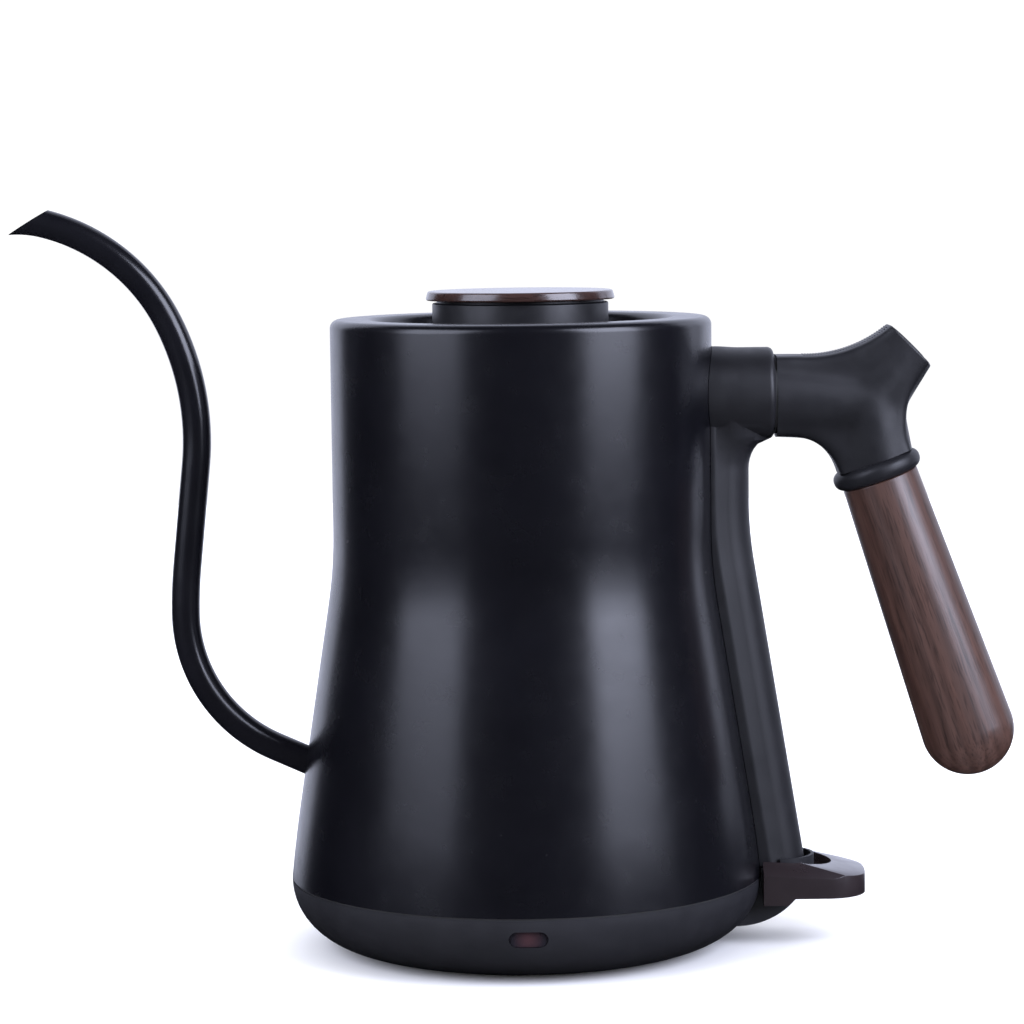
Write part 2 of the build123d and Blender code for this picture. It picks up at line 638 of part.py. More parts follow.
def wood_grip():
    """Turned walnut grip: a slow taper that ends in a half ball."""
    straight = GRIP_LENGTH - GRIP_R_END
    grip = cone_between(grip_point(0), grip_point(straight), GRIP_R_TOP, GRIP_R_END)
    grip += Pos(*grip_point(straight)) * Sphere(GRIP_R_END)
    return grip - rod(INSERT_R, 30, grip_point(0), GRIP_WAY)


def grip_rod():
    """Threaded rod that ties ring and wood to the yoke."""
    return rod(ROD_R, 41.0, grip_point(-RING_T - 14), GRIP_WAY)


def grip_inserts():
    """Brass inserts in the yoke and in the wood that the rod screws into."""
    pieces = []
    for start, length in ((-RING_T - 14, 12.0), (4.0, 20.0)):
        sleeve = rod(INSERT_R, length, grip_point(start), GRIP_WAY)
        pieces.append(sleeve - rod(ROD_R, length + 4, grip_point(start - 2), GRIP_WAY))
    return pieces


# ---------------------------------------------------------------- lid
def lid_plate():
    """Flat painted lid with a raised edge."""
    return ring(LID_R, LID_SCREW_R + 0.2, LID_Z, LID_Z + 1.0) + ring(LID_R, LID_R - 1.0, LID_Z, LID_Z + 2.2)


def lid_liner():
    """Stainless cup under the lid that plugs the mouth."""
    cup = disc(LINER_R, LINER_Z, LID_Z) - disc(LINER_R - LINER_WALL, LINER_Z + LINER_WALL, LID_Z + 1)
    cup += ring(LINER_R + 0.6, LINER_R - 0.1, LID_Z - LINER_WALL, LID_Z)
    return cup - disc(LID_SCREW_R + 0.2, LINER_Z - 8, LINER_Z + 2)


def lid_seal():
    """Silicone ring round the liner."""
    return ring(LINER_R + 0.9, LINER_R, LINER_Z + 2.2, LINER_Z + 4.8)


def knob_body():
    """Hollow plastic knob with a screw boss and a narrow reveal under its cap."""
    knob = disc(KNOB_R, LID_Z + 1.0, KNOB_TOP) - disc(KNOB_R - KNOB_WALL, LID_Z, KNOB_TOP - KNOB_WALL)
    knob += disc(KNOB_BOSS_R, LID_Z + 1.0, KNOB_TOP)
    knob += disc(KNOB_R - KNOB_REVEAL, KNOB_TOP, CAP_Z)
    return knob - disc(LID_SCREW_R, LINER_Z - 8, KNOB_TOP - KNOB_WALL)


def knob_cap():
    """Walnut disc on the knob, widest at its lower edge."""
    top_r = CAP_R - 0.7
    line = FilletPolyline(
        (0, 0, CAP_Z), (CAP_R, 0, CAP_Z), (top_r, 0, CAP_Z + CAP_T), (0, 0, CAP_Z + CAP_T),
        radius=[0.5, 0.7])
    return turned(line + Line(line @ 1, line @ 0))


def lid_screw():
    """Screw from under the liner up into the knob."""
    head = disc(4.0, LINER_Z - 2.2, LINER_Z) - disc(1.3, LINER_Z - 3, LINER_Z - 1)
    return head + disc(LID_SCREW_R - 0.05, LINER_Z - 0.1, KNOB_TOP - 3.0)


# ---------------------------------------------------------------- assembly
NODES = {
    "body_vessel": body_vessel,
    "vessel_floor": vessel_floor,
    "heat_spreader": lambda: disc(SPREADER_R, SPREADER_Z, FLOOR_Z - FLOOR_T),
    "heating_element": heating_element,
    "terminal_straps": terminal_straps,
    "floor_standoffs": floor_standoffs,
    "spout_tube": spout_tube,
    "spout_filter": spout_filter,
    "base_cover": base_cover,
    "base_seal": base_seal,
    "foot_ring": foot_ring,
    "base_screws": base_screws,
    "indicator_lens": indicator_lens,
    "lamp_board": lamp_board,
    "lamp_led": lamp_led,
    "lamp_wires": lamp_wires,
    "power_socket": power_socket,
    "socket_contacts": socket_contacts,
    "control_unit": control_unit,
    "bimetal_discs": bimetal_discs,
    "trip_pin": trip_pin,
    "trip_lever": trip_lever,
    "switch_lever": switch_lever,
    "lever_pin": lever_pin,
    "lever_crank": lever_crank,
    "return_leaf": return_leaf,
    "spine_shell": spine_shell,
    "handle_bracket": handle_bracket,
    "neck_spigot": neck_spigot,
    "lock_screw": lock_screw,
    "steam_port": steam_port,
    "steam_tube": steam_tube,
    "steam_disc": steam_disc,
    "sensor_cup": sensor_cup,
    "handle_neck": handle_neck,
    "neck_gasket": neck_gasket,
    "horn_cap": horn_cap,
    "grip_ring": grip_ring,
    "wood_grip": wood_grip,
    "grip_rod": grip_rod,
    "grip_inserts": grip_inserts,
    "lid_plate": lid_plate,
    "lid_liner": lid_liner,
    "lid_seal": lid_seal,
    "knob_body": knob_body,
    "knob_cap": knob_cap,
    "lid_screw": lid_screw,
}


def main():
    """Build every piece and write one STEP file for each node."""
    os.makedirs("parts", exist_ok=True)
    for name, make in NODES.items():
        shape = make()
        if isinstance(shape, list):
            shape = Compound(children=shape)
        export_step(shape, f"parts/{name}.step")


main()
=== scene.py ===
"""Looks of a gooseneck electric kettle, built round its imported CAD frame.

A piece is modelled in millimetres, in the frame's own axes, and is turned into metres when it
is delivered. +Z is up, the spout points along -X, the handle along +X and the lamp along -Y.
"""

import logging
from contextlib import contextmanager
from dataclasses import dataclass, field
from enum import Enum
from math import asin, atan2, ceil, copysign, cos, degrees, pi, radians, sin, sqrt, tan, tau
from typing import Callable, Iterator, Sequence

import bmesh
import bpy
from mathutils import Matrix, Vector

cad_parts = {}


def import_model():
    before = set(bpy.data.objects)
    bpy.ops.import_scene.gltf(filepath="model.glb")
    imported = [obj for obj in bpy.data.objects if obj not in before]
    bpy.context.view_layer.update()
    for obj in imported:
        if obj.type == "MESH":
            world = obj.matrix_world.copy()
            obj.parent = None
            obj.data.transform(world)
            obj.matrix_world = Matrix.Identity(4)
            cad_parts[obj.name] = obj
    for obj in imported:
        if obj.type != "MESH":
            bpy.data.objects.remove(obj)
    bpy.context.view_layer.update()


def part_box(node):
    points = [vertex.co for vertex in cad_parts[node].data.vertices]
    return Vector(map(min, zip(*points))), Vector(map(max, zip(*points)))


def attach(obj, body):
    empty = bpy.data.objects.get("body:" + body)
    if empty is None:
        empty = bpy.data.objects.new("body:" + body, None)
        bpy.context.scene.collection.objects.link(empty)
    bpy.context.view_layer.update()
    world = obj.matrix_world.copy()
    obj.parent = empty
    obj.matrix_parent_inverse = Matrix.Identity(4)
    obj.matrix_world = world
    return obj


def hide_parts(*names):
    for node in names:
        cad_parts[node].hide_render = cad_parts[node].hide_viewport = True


LOG = logging.getLogger("kettle")
MM = 0.001
WELD = 1e-4                        # points closer than this, in millimetres, are one
DIAGONAL = 0.7071                  # cosine of 45 degrees, the way the horn points
NOISE_LOW, NOISE_HIGH = 0.3, 0.7   # most of a noise pattern lies between these
BLACK, WHITE = (0.0, 0.0, 0.0), (1.0, 1.0, 1.0)

Point = tuple[float, float]
Triple = tuple[float, float, float]
Test = Callable[[Vector, Vector], bool]
Mesh = bpy.types.Object
Node = bpy.types.Node
Socket = bpy.types.NodeSocket
Inputs = dict[str | int, object]


class Body(Enum):
    """The CAD bodies that pieces ride on."""
    KETTLE = "kettle"
    LID = "lid"
    SWITCH = "switch"


class Slot(Enum):
    """The record's material slots."""
    BODY_PAINT = "body_paint"
    SPOUT_PAINT = "spout_paint"
    BASE = "base_plastic"
    HANDLE = "handle_plastic"
    LEVER = "lever_gloss"
    LENS = "lens_smoke"
    WALNUT = "walnut"
    STAINLESS = "stainless"
    ALUMINIUM = "aluminium"
    BRASS = "brass"
    SILICONE = "silicone"
    CONTROL = "control_plastic"
    BOARD = "circuit_board"
    LAMP = "lamp_red"


class Part(Enum):
    """What a selection in edit mode picks."""
    VERTEX = "VERT"
    EDGE = "EDGE"
    FACE = "FACE"


class Join(Enum):
    """How one solid changes another."""
    ADD = "UNION"
    CUT = "DIFFERENCE"
    KEEP = "INTERSECT"


# ---------------- outlines
def rounded(corners: Sequence[Triple], closed: bool = False, turn: float = 9.0,
            run: float = 5.0) -> list[Point]:
    """Points of a line whose corners are rounded.

    Args:
        corners: (across, up, corner radius) of each corner; a radius of 0 keeps it sharp.
        closed: True where the last corner joins the first.
        turn: most degrees between two points of an arc.
        run: most millimetres between two points of an arc.

    Returns:
        The (across, up) points in order.
    """
    points: list[Point] = []
    last = len(corners) - 1
    for index, (across, up, radius) in enumerate(corners):
        if radius == 0 or (not closed and index in (0, last)):
            points.append((across, up))
            continue
        here = Vector((across, up))
        back = (Vector(corners[index - 1][:2]) - here).normalized()
        ahead = (Vector(corners[(index + 1) % (last + 1)][:2]) - here).normalized()
        half = back.angle(ahead) / 2
        centre = here + (back + ahead).normalized() * radius / sin(half)
        arm = here + back * radius / tan(half) - centre
        sweep = pi - 2 * half
        steps = max(ceil(degrees(sweep) / turn), ceil(sweep * radius / run))
        side = 1 if back.cross(ahead) < 0 else -1
        for step in range(steps + 1):
            angle = side * sweep * step / steps
            points.append((centre.x + arm.x * cos(angle) - arm.y * sin(angle),
                           centre.y + arm.x * sin(angle) + arm.y * cos(angle)))
    return points


def arc(centre: Point, radii: Point, start: float, end: float, steps: int) -> list[Point]:
    """Points of an upright ellipse's arc, both ends included.

    Args:
        centre: its middle.
        radii: half width and half height.
        start: first angle in degrees.
        end: last angle in degrees.
        steps: number of chords.

    Returns:
        The points in order.
    """
    angles = [radians(start + (end - start) * i / steps) for i in range(steps + 1)]
    return [(centre[0] + radii[0] * cos(a), centre[1] + radii[1] * sin(a)) for a in angles]


def arc_through(first: Point, middle: Point, last: Point, steps: int) -> list[Point]:
    """Points of the circular arc through three points, both ends included.

    Args:
        first: where the arc starts.
        middle: a point that it passes.
        last: where it ends.
        steps: number of chords.

    Returns:
        The points in order.
    """
    a, b, c = (complex(*p) for p in (first, middle, last))
    w = (c - a) / (b - a)
    centre = (b - a) * (w - abs(w) ** 2) / (2j * w.imag) + a
    start = a - centre
    sweep = atan2(((c - centre) / start).imag, ((c - centre) / start).real)
    passing = atan2(((b - centre) / start).imag, ((b - centre) / start).real)
    if sweep * passing < 0 or abs(passing) > abs(sweep):
        sweep -= copysign(tau, sweep)
    angles = [sweep * i / steps for i in range(steps + 1)]
    places = [centre + start * complex(cos(angle), sin(angle)) for angle in angles]
    return [(place.real, place.imag) for place in places]


# ---------------- modelling moves
def deselect() -> None:
    """Leave edit mode and deselect everything."""
    if bpy.context.object and bpy.context.object.mode != "OBJECT":
        bpy.ops.object.mode_set(mode="OBJECT")
    bpy.ops.object.select_all(action="DESELECT")


def activate(piece: Mesh) -> None:
    """Make a piece the only selected and active object.

    Args:
        piece: the piece.
    """
    deselect()
    piece.select_set(True)
    bpy.context.view_layer.objects.active = piece


@contextmanager
def editing(piece: Mesh, part: Part = Part.VERTEX) -> Iterator[None]:
    """Work on a piece in edit mode, all of it selected at first.

    Args:
        piece: the mesh to edit.
        part: what selections pick.

    Yields:
        Nothing; the body of the with statement runs in edit mode.
    """
    activate(piece)
    bpy.ops.object.mode_set(mode="EDIT")
    bpy.ops.mesh.select_mode(type=part.value)
    bpy.ops.mesh.select_all(action="SELECT")
    yield
    bpy.ops.object.mode_set(mode="OBJECT")


def pick(piece: Mesh, part: Part, test: Test) -> None:
    """Select by place or direction, in edit mode.

    Args:
        piece: the mesh being edited.
        part: vertices or faces.
        test: takes the part's middle and its normal, and says whether to select it.
    """
    bpy.ops.mesh.select_mode(type=part.value)
    bpy.ops.mesh.select_all(action="DESELECT")
    mesh = bmesh.from_edit_mesh(piece.data)
    mesh.normal_update()
    if part is Part.VERTEX:
        chosen = [v for v in mesh.verts if test(v.co, v.normal)]
    else:
        chosen = [f for f in mesh.faces if test(f.calc_center_median(), f.normal)]
    for item in chosen:
        item.select_set(True)
    mesh.select_flush_mode()
    bmesh.update_edit_mesh(piece.data)


def extruded(way: Sequence[float]) -> None:
    """Extrude the selection by a step, in edit mode."""
    bpy.ops.mesh.extrude_region_move(TRANSFORM_OT_translate={"value": way})


def outwards() -> None:
    """Point all the faces of the edited mesh outwards."""
    bpy.ops.mesh.select_all(action="SELECT")
    bpy.ops.mesh.normals_make_consistent(inside=False)


def added(name: str) -> Mesh:
    """Name the primitive that was just added and apply its place to its mesh.

    Args:
        name: its name.

    Returns:
        The primitive, selected and active.
    """
    piece = bpy.context.object
    piece.name = name
    activate(piece)
    bpy.ops.object.transform_apply()
    return piece


def drawn(name: str, points: Sequence[Sequence[float]], closed: bool = False) -> Mesh:
    """A line of edges, extruded from one vertex point by point.

    Args:
        name: the new object's name.
        points: places in millimetres.
        closed: True to join the last point to the first.

    Returns:
        The new object.
    """
    places = [Vector(p) for p in points]
    deselect()
    bpy.ops.mesh.primitive_plane_add(size=1, location=places[0])
    line = added(name)
    with editing(line):
        bpy.ops.mesh.merge(type="CENTER")
        for start, end in zip(places, places[1:]):
            extruded(end - start)
        if closed:
            ends = (places[0], places[-1])
            pick(line, Part.VERTEX, lambda co, _: min((co - e).length for e in ends) < WELD)
            bpy.ops.mesh.edge_face_add()
    return line


def turned(name: str, outline: Sequence[Point], steps: int = 192, closed: bool = False) -> Mesh:
    """A body turned about the Z axis.

    Args:
        name: the new object's name.
        outline: (radius, height) points.
        steps: facets round the axis.
        closed: True where the outline ends where it starts.

    Returns:
        The new object, with its faces outwards.
    """
    line = list(outline) + ([outline[0]] if closed else [])
    piece = drawn(name, [(r, 0, z) for r, z in line])
    with editing(piece):
        bpy.ops.mesh.spin(steps=steps, angle=tau, center=(0, 0, 0), axis=(0, 0, 1))
        bpy.ops.mesh.select_all(action="SELECT")
        bpy.ops.mesh.remove_doubles(threshold=WELD)
        outwards()
    return piece


def slab(name: str, outline: Sequence[Point], low: float, high: float, plan: bool = False) -> Mesh:
    """A plate extruded from a closed outline.

    Args:
        name: the new object's name.
        outline: (x, z) points of a side view, or (x, y) points of a plan.
        low: where the extrusion starts, along Y or Z.
        high: where it ends.
        plan: True if the outline is a plan.

    Returns:
        The new object, with its faces outwards.
    """
    places = [(a, b, low) if plan else (a, low, b) for a, b in outline]
    piece = drawn(name, places, closed=True)
    way = (0, 0, high - low) if plan else (0, high - low, 0)
    with editing(piece):
        bpy.ops.mesh.edge_face_add()
        extruded(way)
        outwards()
    return piece


def placed(piece: Mesh, origin: Sequence[float], way: Sequence[float]) -> Mesh:
    """Stand a piece that was made about the Z axis somewhere else.

    Args:
        piece: the mesh.
        origin: where its own origin goes.
        way: where its Z axis then points.

    Returns:
        The same piece.
    """
    activate(piece)
    piece.rotation_mode = "QUATERNION"
    piece.rotation_quaternion = Vector((0, 0, 1)).rotation_difference(Vector(way))
    piece.location = origin
    bpy.ops.object.transform_apply()
    return piece


def modified(piece: Mesh, kind: str, **settings: object) -> Mesh:
    """Add a modifier, set it up and apply it.

    Args:
        piece: the mesh to change.
        kind: the modifier's type, as Blender names it.
        **settings: its properties.

    Returns:
        The same piece.
    """
    activate(piece)
    bpy.ops.object.modifier_add(type=kind)
    modifier = piece.modifiers[-1]
    for key, value in settings.items():
        setattr(modifier, key, value)
    bpy.ops.object.modifier_apply(modifier=modifier.name)
    return piece


def joined(piece: Mesh, tool: Mesh, how: Join) -> None:
    """Add a tool solid to a solid, cut it off, or keep their overlap; the tool is used up."""
    modified(piece, "BOOLEAN", operation=how.value, solver="MANIFOLD", object=tool)
    bpy.data.objects.remove(tool)


def sliced(piece: Mesh, point: Sequence[float], way: Sequence[float], fill: bool = True) -> None:
    """Cut a piece by a plane and keep the side that way points away from."""
    with editing(piece):
        bpy.ops.mesh.bisect(plane_co=point, plane_no=Vector(way).normalized(), use_fill=fill,
                            clear_outer=True, threshold=WELD)


def softened(piece: Mesh, width: float, angle: float) -> None:
    """Round every edge that is sharper than an angle in degrees."""
    modified(piece, "BEVEL", width=width, segments=3, limit_method="ANGLE",
             angle_limit=radians(angle), miter_outer="MITER_ARC", use_clamp_overlap=True)


def span(node: str) -> tuple[Vector, Vector]:
    """Lowest and highest corner of a CAD node, in millimetres."""
    low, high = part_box(node)
    return low / MM, high / MM


# ---------------- finishes
@dataclass
class Nodes:
    """The node tree of one material, with a method for each kind of node that it takes."""
    tree: bpy.types.NodeTree
    shader: Node

    def fill(self, node: Node, inputs: Inputs) -> None:
        """Set or link a node's inputs.

        Args:
            node: the node.
            inputs: a plain value or another node's socket for each input.
        """
        for key, value in inputs.items():
            if isinstance(value, Socket):
                self.tree.links.new(value, node.inputs[key])
            else:
                node.inputs[key].default_value = value

    def add(self, kind: str, inputs: Inputs, **settings: object) -> Node:
        """Add a node.

        Args:
            kind: its type, as Blender names it.
            inputs: a plain value or another node's socket for each input.
            **settings: its own properties.

        Returns:
            The new node.
        """
        node = self.tree.nodes.new(kind)
        for key, value in settings.items():
            setattr(node, key, value)
        self.fill(node, inputs)
        return node

    def finish(self, colour: Socket, gloss: Socket, normal: Socket) -> None:
        """Drive the shader's colour, roughness and normal."""
        self.fill(self.shader, {"Base Color": colour, "Roughness": gloss, "Normal": normal})

    def moved(self, place: Socket, turn: Triple = (0.0, 0.0, 0.0), scale: Triple = (1.0, 1.0, 1.0)) -> Socket:
        """A coordinate turned and stretched."""
        node = self.add("ShaderNodeMapping", {"Vector": place, "Rotation": turn, "Scale": scale})
        return node.outputs["Vector"]

    def noise(self, place: Socket, scale: float, detail: float) -> Socket:
        """Noise from 0 to 1, with scale in cells per metre."""
        node = self.add("ShaderNodeTexNoise", {"Vector": place, "Scale": scale, "Detail": detail})
        return node.outputs["Fac"]

    def ramp(self, value: Socket, *stops: tuple[float, Triple]) -> Socket:
        """A colour ramp.

        Args:
            value: what it follows.
            *stops: the position and colour of each stop.

        Returns:
            Its colour.
        """
        node = self.add("ShaderNodeValToRGB", {"Fac": value})
        stack = node.color_ramp.elements
        while len(stack) < len(stops):
            stack.new(0.5)
        for element, (position, colour) in zip(stack, stops):
            element.position = position
            element.color = (*colour, 1.0)
        return node.outputs["Color"]

    def ranged(self, value: Socket, low: float, high: float) -> Socket:
        """Noise spread from low to high."""
        return self.add("ShaderNodeMapRange", {"Value": value, "From Min": NOISE_LOW, "From Max": NOISE_HIGH,
                                               "To Min": low, "To Max": high}).outputs["Result"]

    def mixed(self, first: Socket, second: Socket, blend: str, share: float) -> Socket:
        """Two colours blended by a share."""
        node = self.add("ShaderNodeMix", {0: share, 6: first, 7: second}, data_type="RGBA", blend_type=blend)
        return node.outputs[2]

    def bumped(self, height: Socket, distance: float, under: Socket | None = None) -> Socket:
        """A surface normal.

        Args:
            height: the pattern that it follows.
            distance: the pattern's depth, in metres.
            under: the normal of a bump that it lies over.

        Returns:
            The normal.
        """
        node = self.add("ShaderNodeBump", {"Strength": 1.0, "Distance": distance, "Height": height})
        if under is not None:
            self.tree.links.new(under, node.inputs["Normal"])
        return node.outputs["Normal"]


@dataclass(frozen=True)
class Finish:
    """A moulded, painted or metal surface: two close colours, uneven gloss and a fine grain."""
    name: str
    slot: Slot
    low: Triple
    high: Triple
    roughness: float = 0.5
    uneven: float = 0.05
    metallic: float = 0.0
    specular: float = 0.5
    coat: float = 0.0
    coat_roughness: float = 0.1
    patch: float = 45.0
    grain: float = 1800.0
    height: float = 1.2e-5
    stretch: Triple = (1.0, 1.0, 1.0)

    def make(self) -> bpy.types.Material:
        """Build the node tree and return the material."""
        material = bpy.data.materials.new(self.name)
        material.use_nodes = True
        material.diffuse_color = (*self.high, 1.0)
        nodes = Nodes(material.node_tree, material.node_tree.nodes["Principled BSDF"])
        nodes.fill(nodes.shader, {"Metallic": self.metallic, "Specular IOR Level": self.specular,
                                  "Coat Weight": self.coat, "Coat Roughness": self.coat_roughness})
        self.dress(nodes, nodes.add("ShaderNodeTexCoord", {}).outputs["Object"])
        return material

    def paint(self, nodes: Nodes, place: Socket) -> Socket:
        """The two colours in large soft patches."""
        return nodes.ramp(nodes.noise(place, self.patch, 3.0), (NOISE_LOW, self.low), (NOISE_HIGH, self.high))

    def gloss(self, nodes: Nodes, pattern: Socket) -> Socket:
        """Roughness that wanders with a noise pattern."""
        return nodes.ranged(pattern, self.roughness - self.uneven, self.roughness + self.uneven)

    def dress(self, nodes: Nodes, place: Socket) -> None:
        """Drive colour, gloss and bump.

        Args:
            nodes: the material's nodes.
            place: object coordinates.
        """
        place = nodes.moved(place, scale=self.stretch)
        fine = nodes.noise(place, self.grain, 2.0)
        nodes.finish(self.paint(nodes, place), self.gloss(nodes, nodes.noise(place, self.patch * 4, 4.0)),
                     nodes.bumped(fine, self.height))


@dataclass(frozen=True)
class PaintFinish(Finish):
    """Powder-coat paint: a soft orange peel under the fine grain, with a few paler specks."""
    peel: float = 260.0
    peel_height: float = 1.0e-5
    speck: float = 420.0
    speck_share: float = 0.05

    def dress(self, nodes: Nodes, place: Socket) -> None:
        """Drive colour, gloss and bump; see Finish.dress."""
        cells = nodes.add("ShaderNodeTexVoronoi", {"Scale": self.speck, "Vector": place}).outputs["Distance"]
        dots = nodes.ramp(cells, (0.03, WHITE), (0.06, BLACK))
        sparse = nodes.ramp(nodes.noise(place, self.speck * 0.4, 1.0), (0.68, BLACK), (0.72, WHITE))
        flecks = nodes.mixed(dots, sparse, "MULTIPLY", 1.0)
        coarse = nodes.bumped(nodes.noise(place, self.peel, 2.0), self.peel_height)
        nodes.finish(nodes.mixed(self.paint(nodes, place), flecks, "ADD", self.speck_share),
                     self.gloss(nodes, nodes.noise(place, self.patch * 3, 5.0)),
                     nodes.bumped(nodes.noise(place, self.grain, 2.0), self.height, coarse))


@dataclass(frozen=True)
class WoodFinish(Finish):
    """Oiled walnut: growth bands, long streaks and open pores along the grain."""
    dark: Triple = (0.030, 0.0125, 0.0085)
    pore: Triple = (0.25, 0.22, 0.2)
    tilt: float = 0.0
    bands: float = 70.0

    def dress(self, nodes: Nodes, place: Socket) -> None:
        """Drive colour, gloss and bump; see Finish.dress."""
        along = nodes.moved(place, turn=(0.0, self.tilt, 0.0))
        growth = nodes.add("ShaderNodeTexWave", {"Scale": self.bands, "Distortion": 7.0, "Detail": 3.0,
                                                 "Detail Scale": 1.6,
                                                 "Vector": nodes.moved(along, scale=(1.0, 0.8, 0.06))},
                           wave_type="BANDS", bands_direction="X").outputs["Color"]
        streaks = nodes.noise(nodes.moved(along, scale=(1.0, 1.0, 0.035)), 620.0, 4.0)
        figure = nodes.mixed(growth, streaks, "MIX", 0.74)
        colour = nodes.ramp(figure, (0.2, self.dark), (0.45, self.low), (0.85, self.high))
        pores = nodes.noise(nodes.moved(along, scale=(1.0, 1.0, 0.05)), 2100.0, 2.0)
        open_pores = nodes.ramp(pores, (0.36, self.pore), (0.46, WHITE))
        nodes.finish(nodes.mixed(colour, open_pores, "MULTIPLY", 0.55),
                     nodes.ranged(streaks, self.roughness + self.uneven, self.roughness - self.uneven),
                     nodes.bumped(pores, self.height))


@dataclass(frozen=True)
class LensFinish(Finish):
    """Smoked clear plastic that lets the red lamp behind it show faintly in the middle."""
    middle: Triple = (0.0, 0.0, 0.0)
    reach: float = 0.0045

    def dress(self, nodes: Nodes, place: Socket) -> None:
        """Drive colour, gloss and bump; see Finish.dress."""
        centred = nodes.add("ShaderNodeVectorMath", {0: place, 1: self.middle}, operation="SUBTRACT")
        near = nodes.moved(centred.outputs["Vector"], scale=(1 / self.reach,) * 3)
        spot = nodes.add("ShaderNodeTexGradient", {"Vector": near}, gradient_type="SPHERICAL")
        fine = nodes.noise(place, 900.0, 2.0)
        nodes.finish(nodes.ramp(spot.outputs["Color"], (0.05, self.low), (0.85, self.high)),
                     nodes.ranged(fine, self.roughness, self.roughness + self.uneven),
                     nodes.bumped(nodes.noise(place, self.grain, 1.0), self.height))


@dataclass
class Palette:
    """Every finish of the kettle, each made into a material once."""
    grip_tilt: float
    lamp: Vector
    made: dict[str, bpy.types.Material] = field(default_factory=dict)

    def __post_init__(self) -> None:
        """Set up the finishes, some of which follow the frame."""
        self.paint = PaintFinish("body_paint", Slot.BODY_PAINT, (0.0022, 0.0022, 0.0036),
                                 (0.0032, 0.0032, 0.005), roughness=0.26, uneven=0.02, grain=2600.0,
                                 height=5e-6)
        self.spout = PaintFinish("spout_paint", Slot.SPOUT_PAINT, (0.003, 0.003, 0.0045),
                                 (0.0045, 0.0045, 0.0065), roughness=0.24, uneven=0.03, grain=2600.0,
                                 height=4e-6)
        self.base = Finish("base_plastic", Slot.BASE, (0.0085, 0.0085, 0.0115), (0.0115, 0.0115, 0.0155),
                           roughness=0.58, grain=2300.0, height=1.4e-5)
        self.handle = Finish("handle_plastic", Slot.HANDLE, (0.006, 0.006, 0.0078), (0.009, 0.009, 0.0115),
                             specular=0.42, roughness=0.46, grain=2400.0, height=1.6e-5)
        self.knob = Finish("knob_plastic", Slot.HANDLE, (0.0055, 0.0055, 0.007), (0.0085, 0.0085, 0.0105),
                           roughness=0.42, grain=2400.0, height=8e-6)
        self.lever = Finish("lever_gloss", Slot.LEVER, (0.016, 0.0115, 0.0135), (0.023, 0.0165, 0.0185),
                            roughness=0.3, uneven=0.04, coat=0.5, coat_roughness=0.2, grain=700.0,
                            height=3e-6)
        self.lens = LensFinish("lens_smoke", Slot.LENS, (0.010, 0.009, 0.012), (0.034, 0.017, 0.020),
                               roughness=0.07, uneven=0.04, grain=500.0, height=1e-6, middle=tuple(self.lamp))
        self.walnut = WoodFinish("walnut_grip", Slot.WALNUT, (0.047, 0.022, 0.0165), (0.072, 0.036, 0.028),
                                 roughness=0.4, uneven=0.06, coat=0.25, coat_roughness=0.3, height=2.5e-5,
                                 tilt=self.grip_tilt)
        self.walnut_flat = WoodFinish("walnut_cap", Slot.WALNUT, (0.028, 0.014, 0.012), (0.045, 0.024, 0.021),
                                      roughness=0.24, uneven=0.05, coat=0.4, coat_roughness=0.14,
                                      height=2.5e-5, tilt=pi / 2, bands=110.0)
        self.stainless = Finish("brushed_stainless", Slot.STAINLESS, (0.46, 0.46, 0.45), (0.6, 0.59, 0.58),
                                roughness=0.3, uneven=0.08, metallic=1.0, grain=900.0, height=6e-6,
                                stretch=(0.08, 1.0, 1.0))
        self.aluminium = Finish("cast_aluminium", Slot.ALUMINIUM, (0.5, 0.5, 0.51), (0.64, 0.64, 0.65),
                                roughness=0.45, uneven=0.08, metallic=1.0, grain=1500.0, height=2e-5)
        self.brass = Finish("brass", Slot.BRASS, (0.62, 0.42, 0.16), (0.75, 0.54, 0.24),
                            roughness=0.32, uneven=0.08, metallic=1.0, grain=1100.0, height=6e-6)
        self.silicone = Finish("silicone", Slot.SILICONE, (0.012, 0.012, 0.013), (0.02, 0.02, 0.022),
                               roughness=0.66, grain=1500.0, height=1e-5)
        self.control = Finish("control_plastic", Slot.CONTROL, (0.5, 0.48, 0.43), (0.6, 0.58, 0.53),
                              roughness=0.5, grain=1800.0, height=1.2e-5)
        self.board = Finish("circuit_board", Slot.BOARD, (0.008, 0.06, 0.02), (0.012, 0.1, 0.035),
                            roughness=0.35, coat=0.4, grain=1300.0, height=1e-5, patch=500.0)
        self.lamp_red = Finish("lamp_red", Slot.LAMP, (0.4, 0.01, 0.008), (0.55, 0.02, 0.012),
                               roughness=0.15, coat=0.5, grain=500.0, height=2e-6)

    def material(self, finish: Finish) -> bpy.types.Material:
        """The material of a finish, made the first time it is asked for.

        Args:
            finish: the finish.

        Returns:
            Its material.
        """
        if finish.name not in self.made:
            self.made[finish.name] = finish.make()
        return self.made[finish.name]


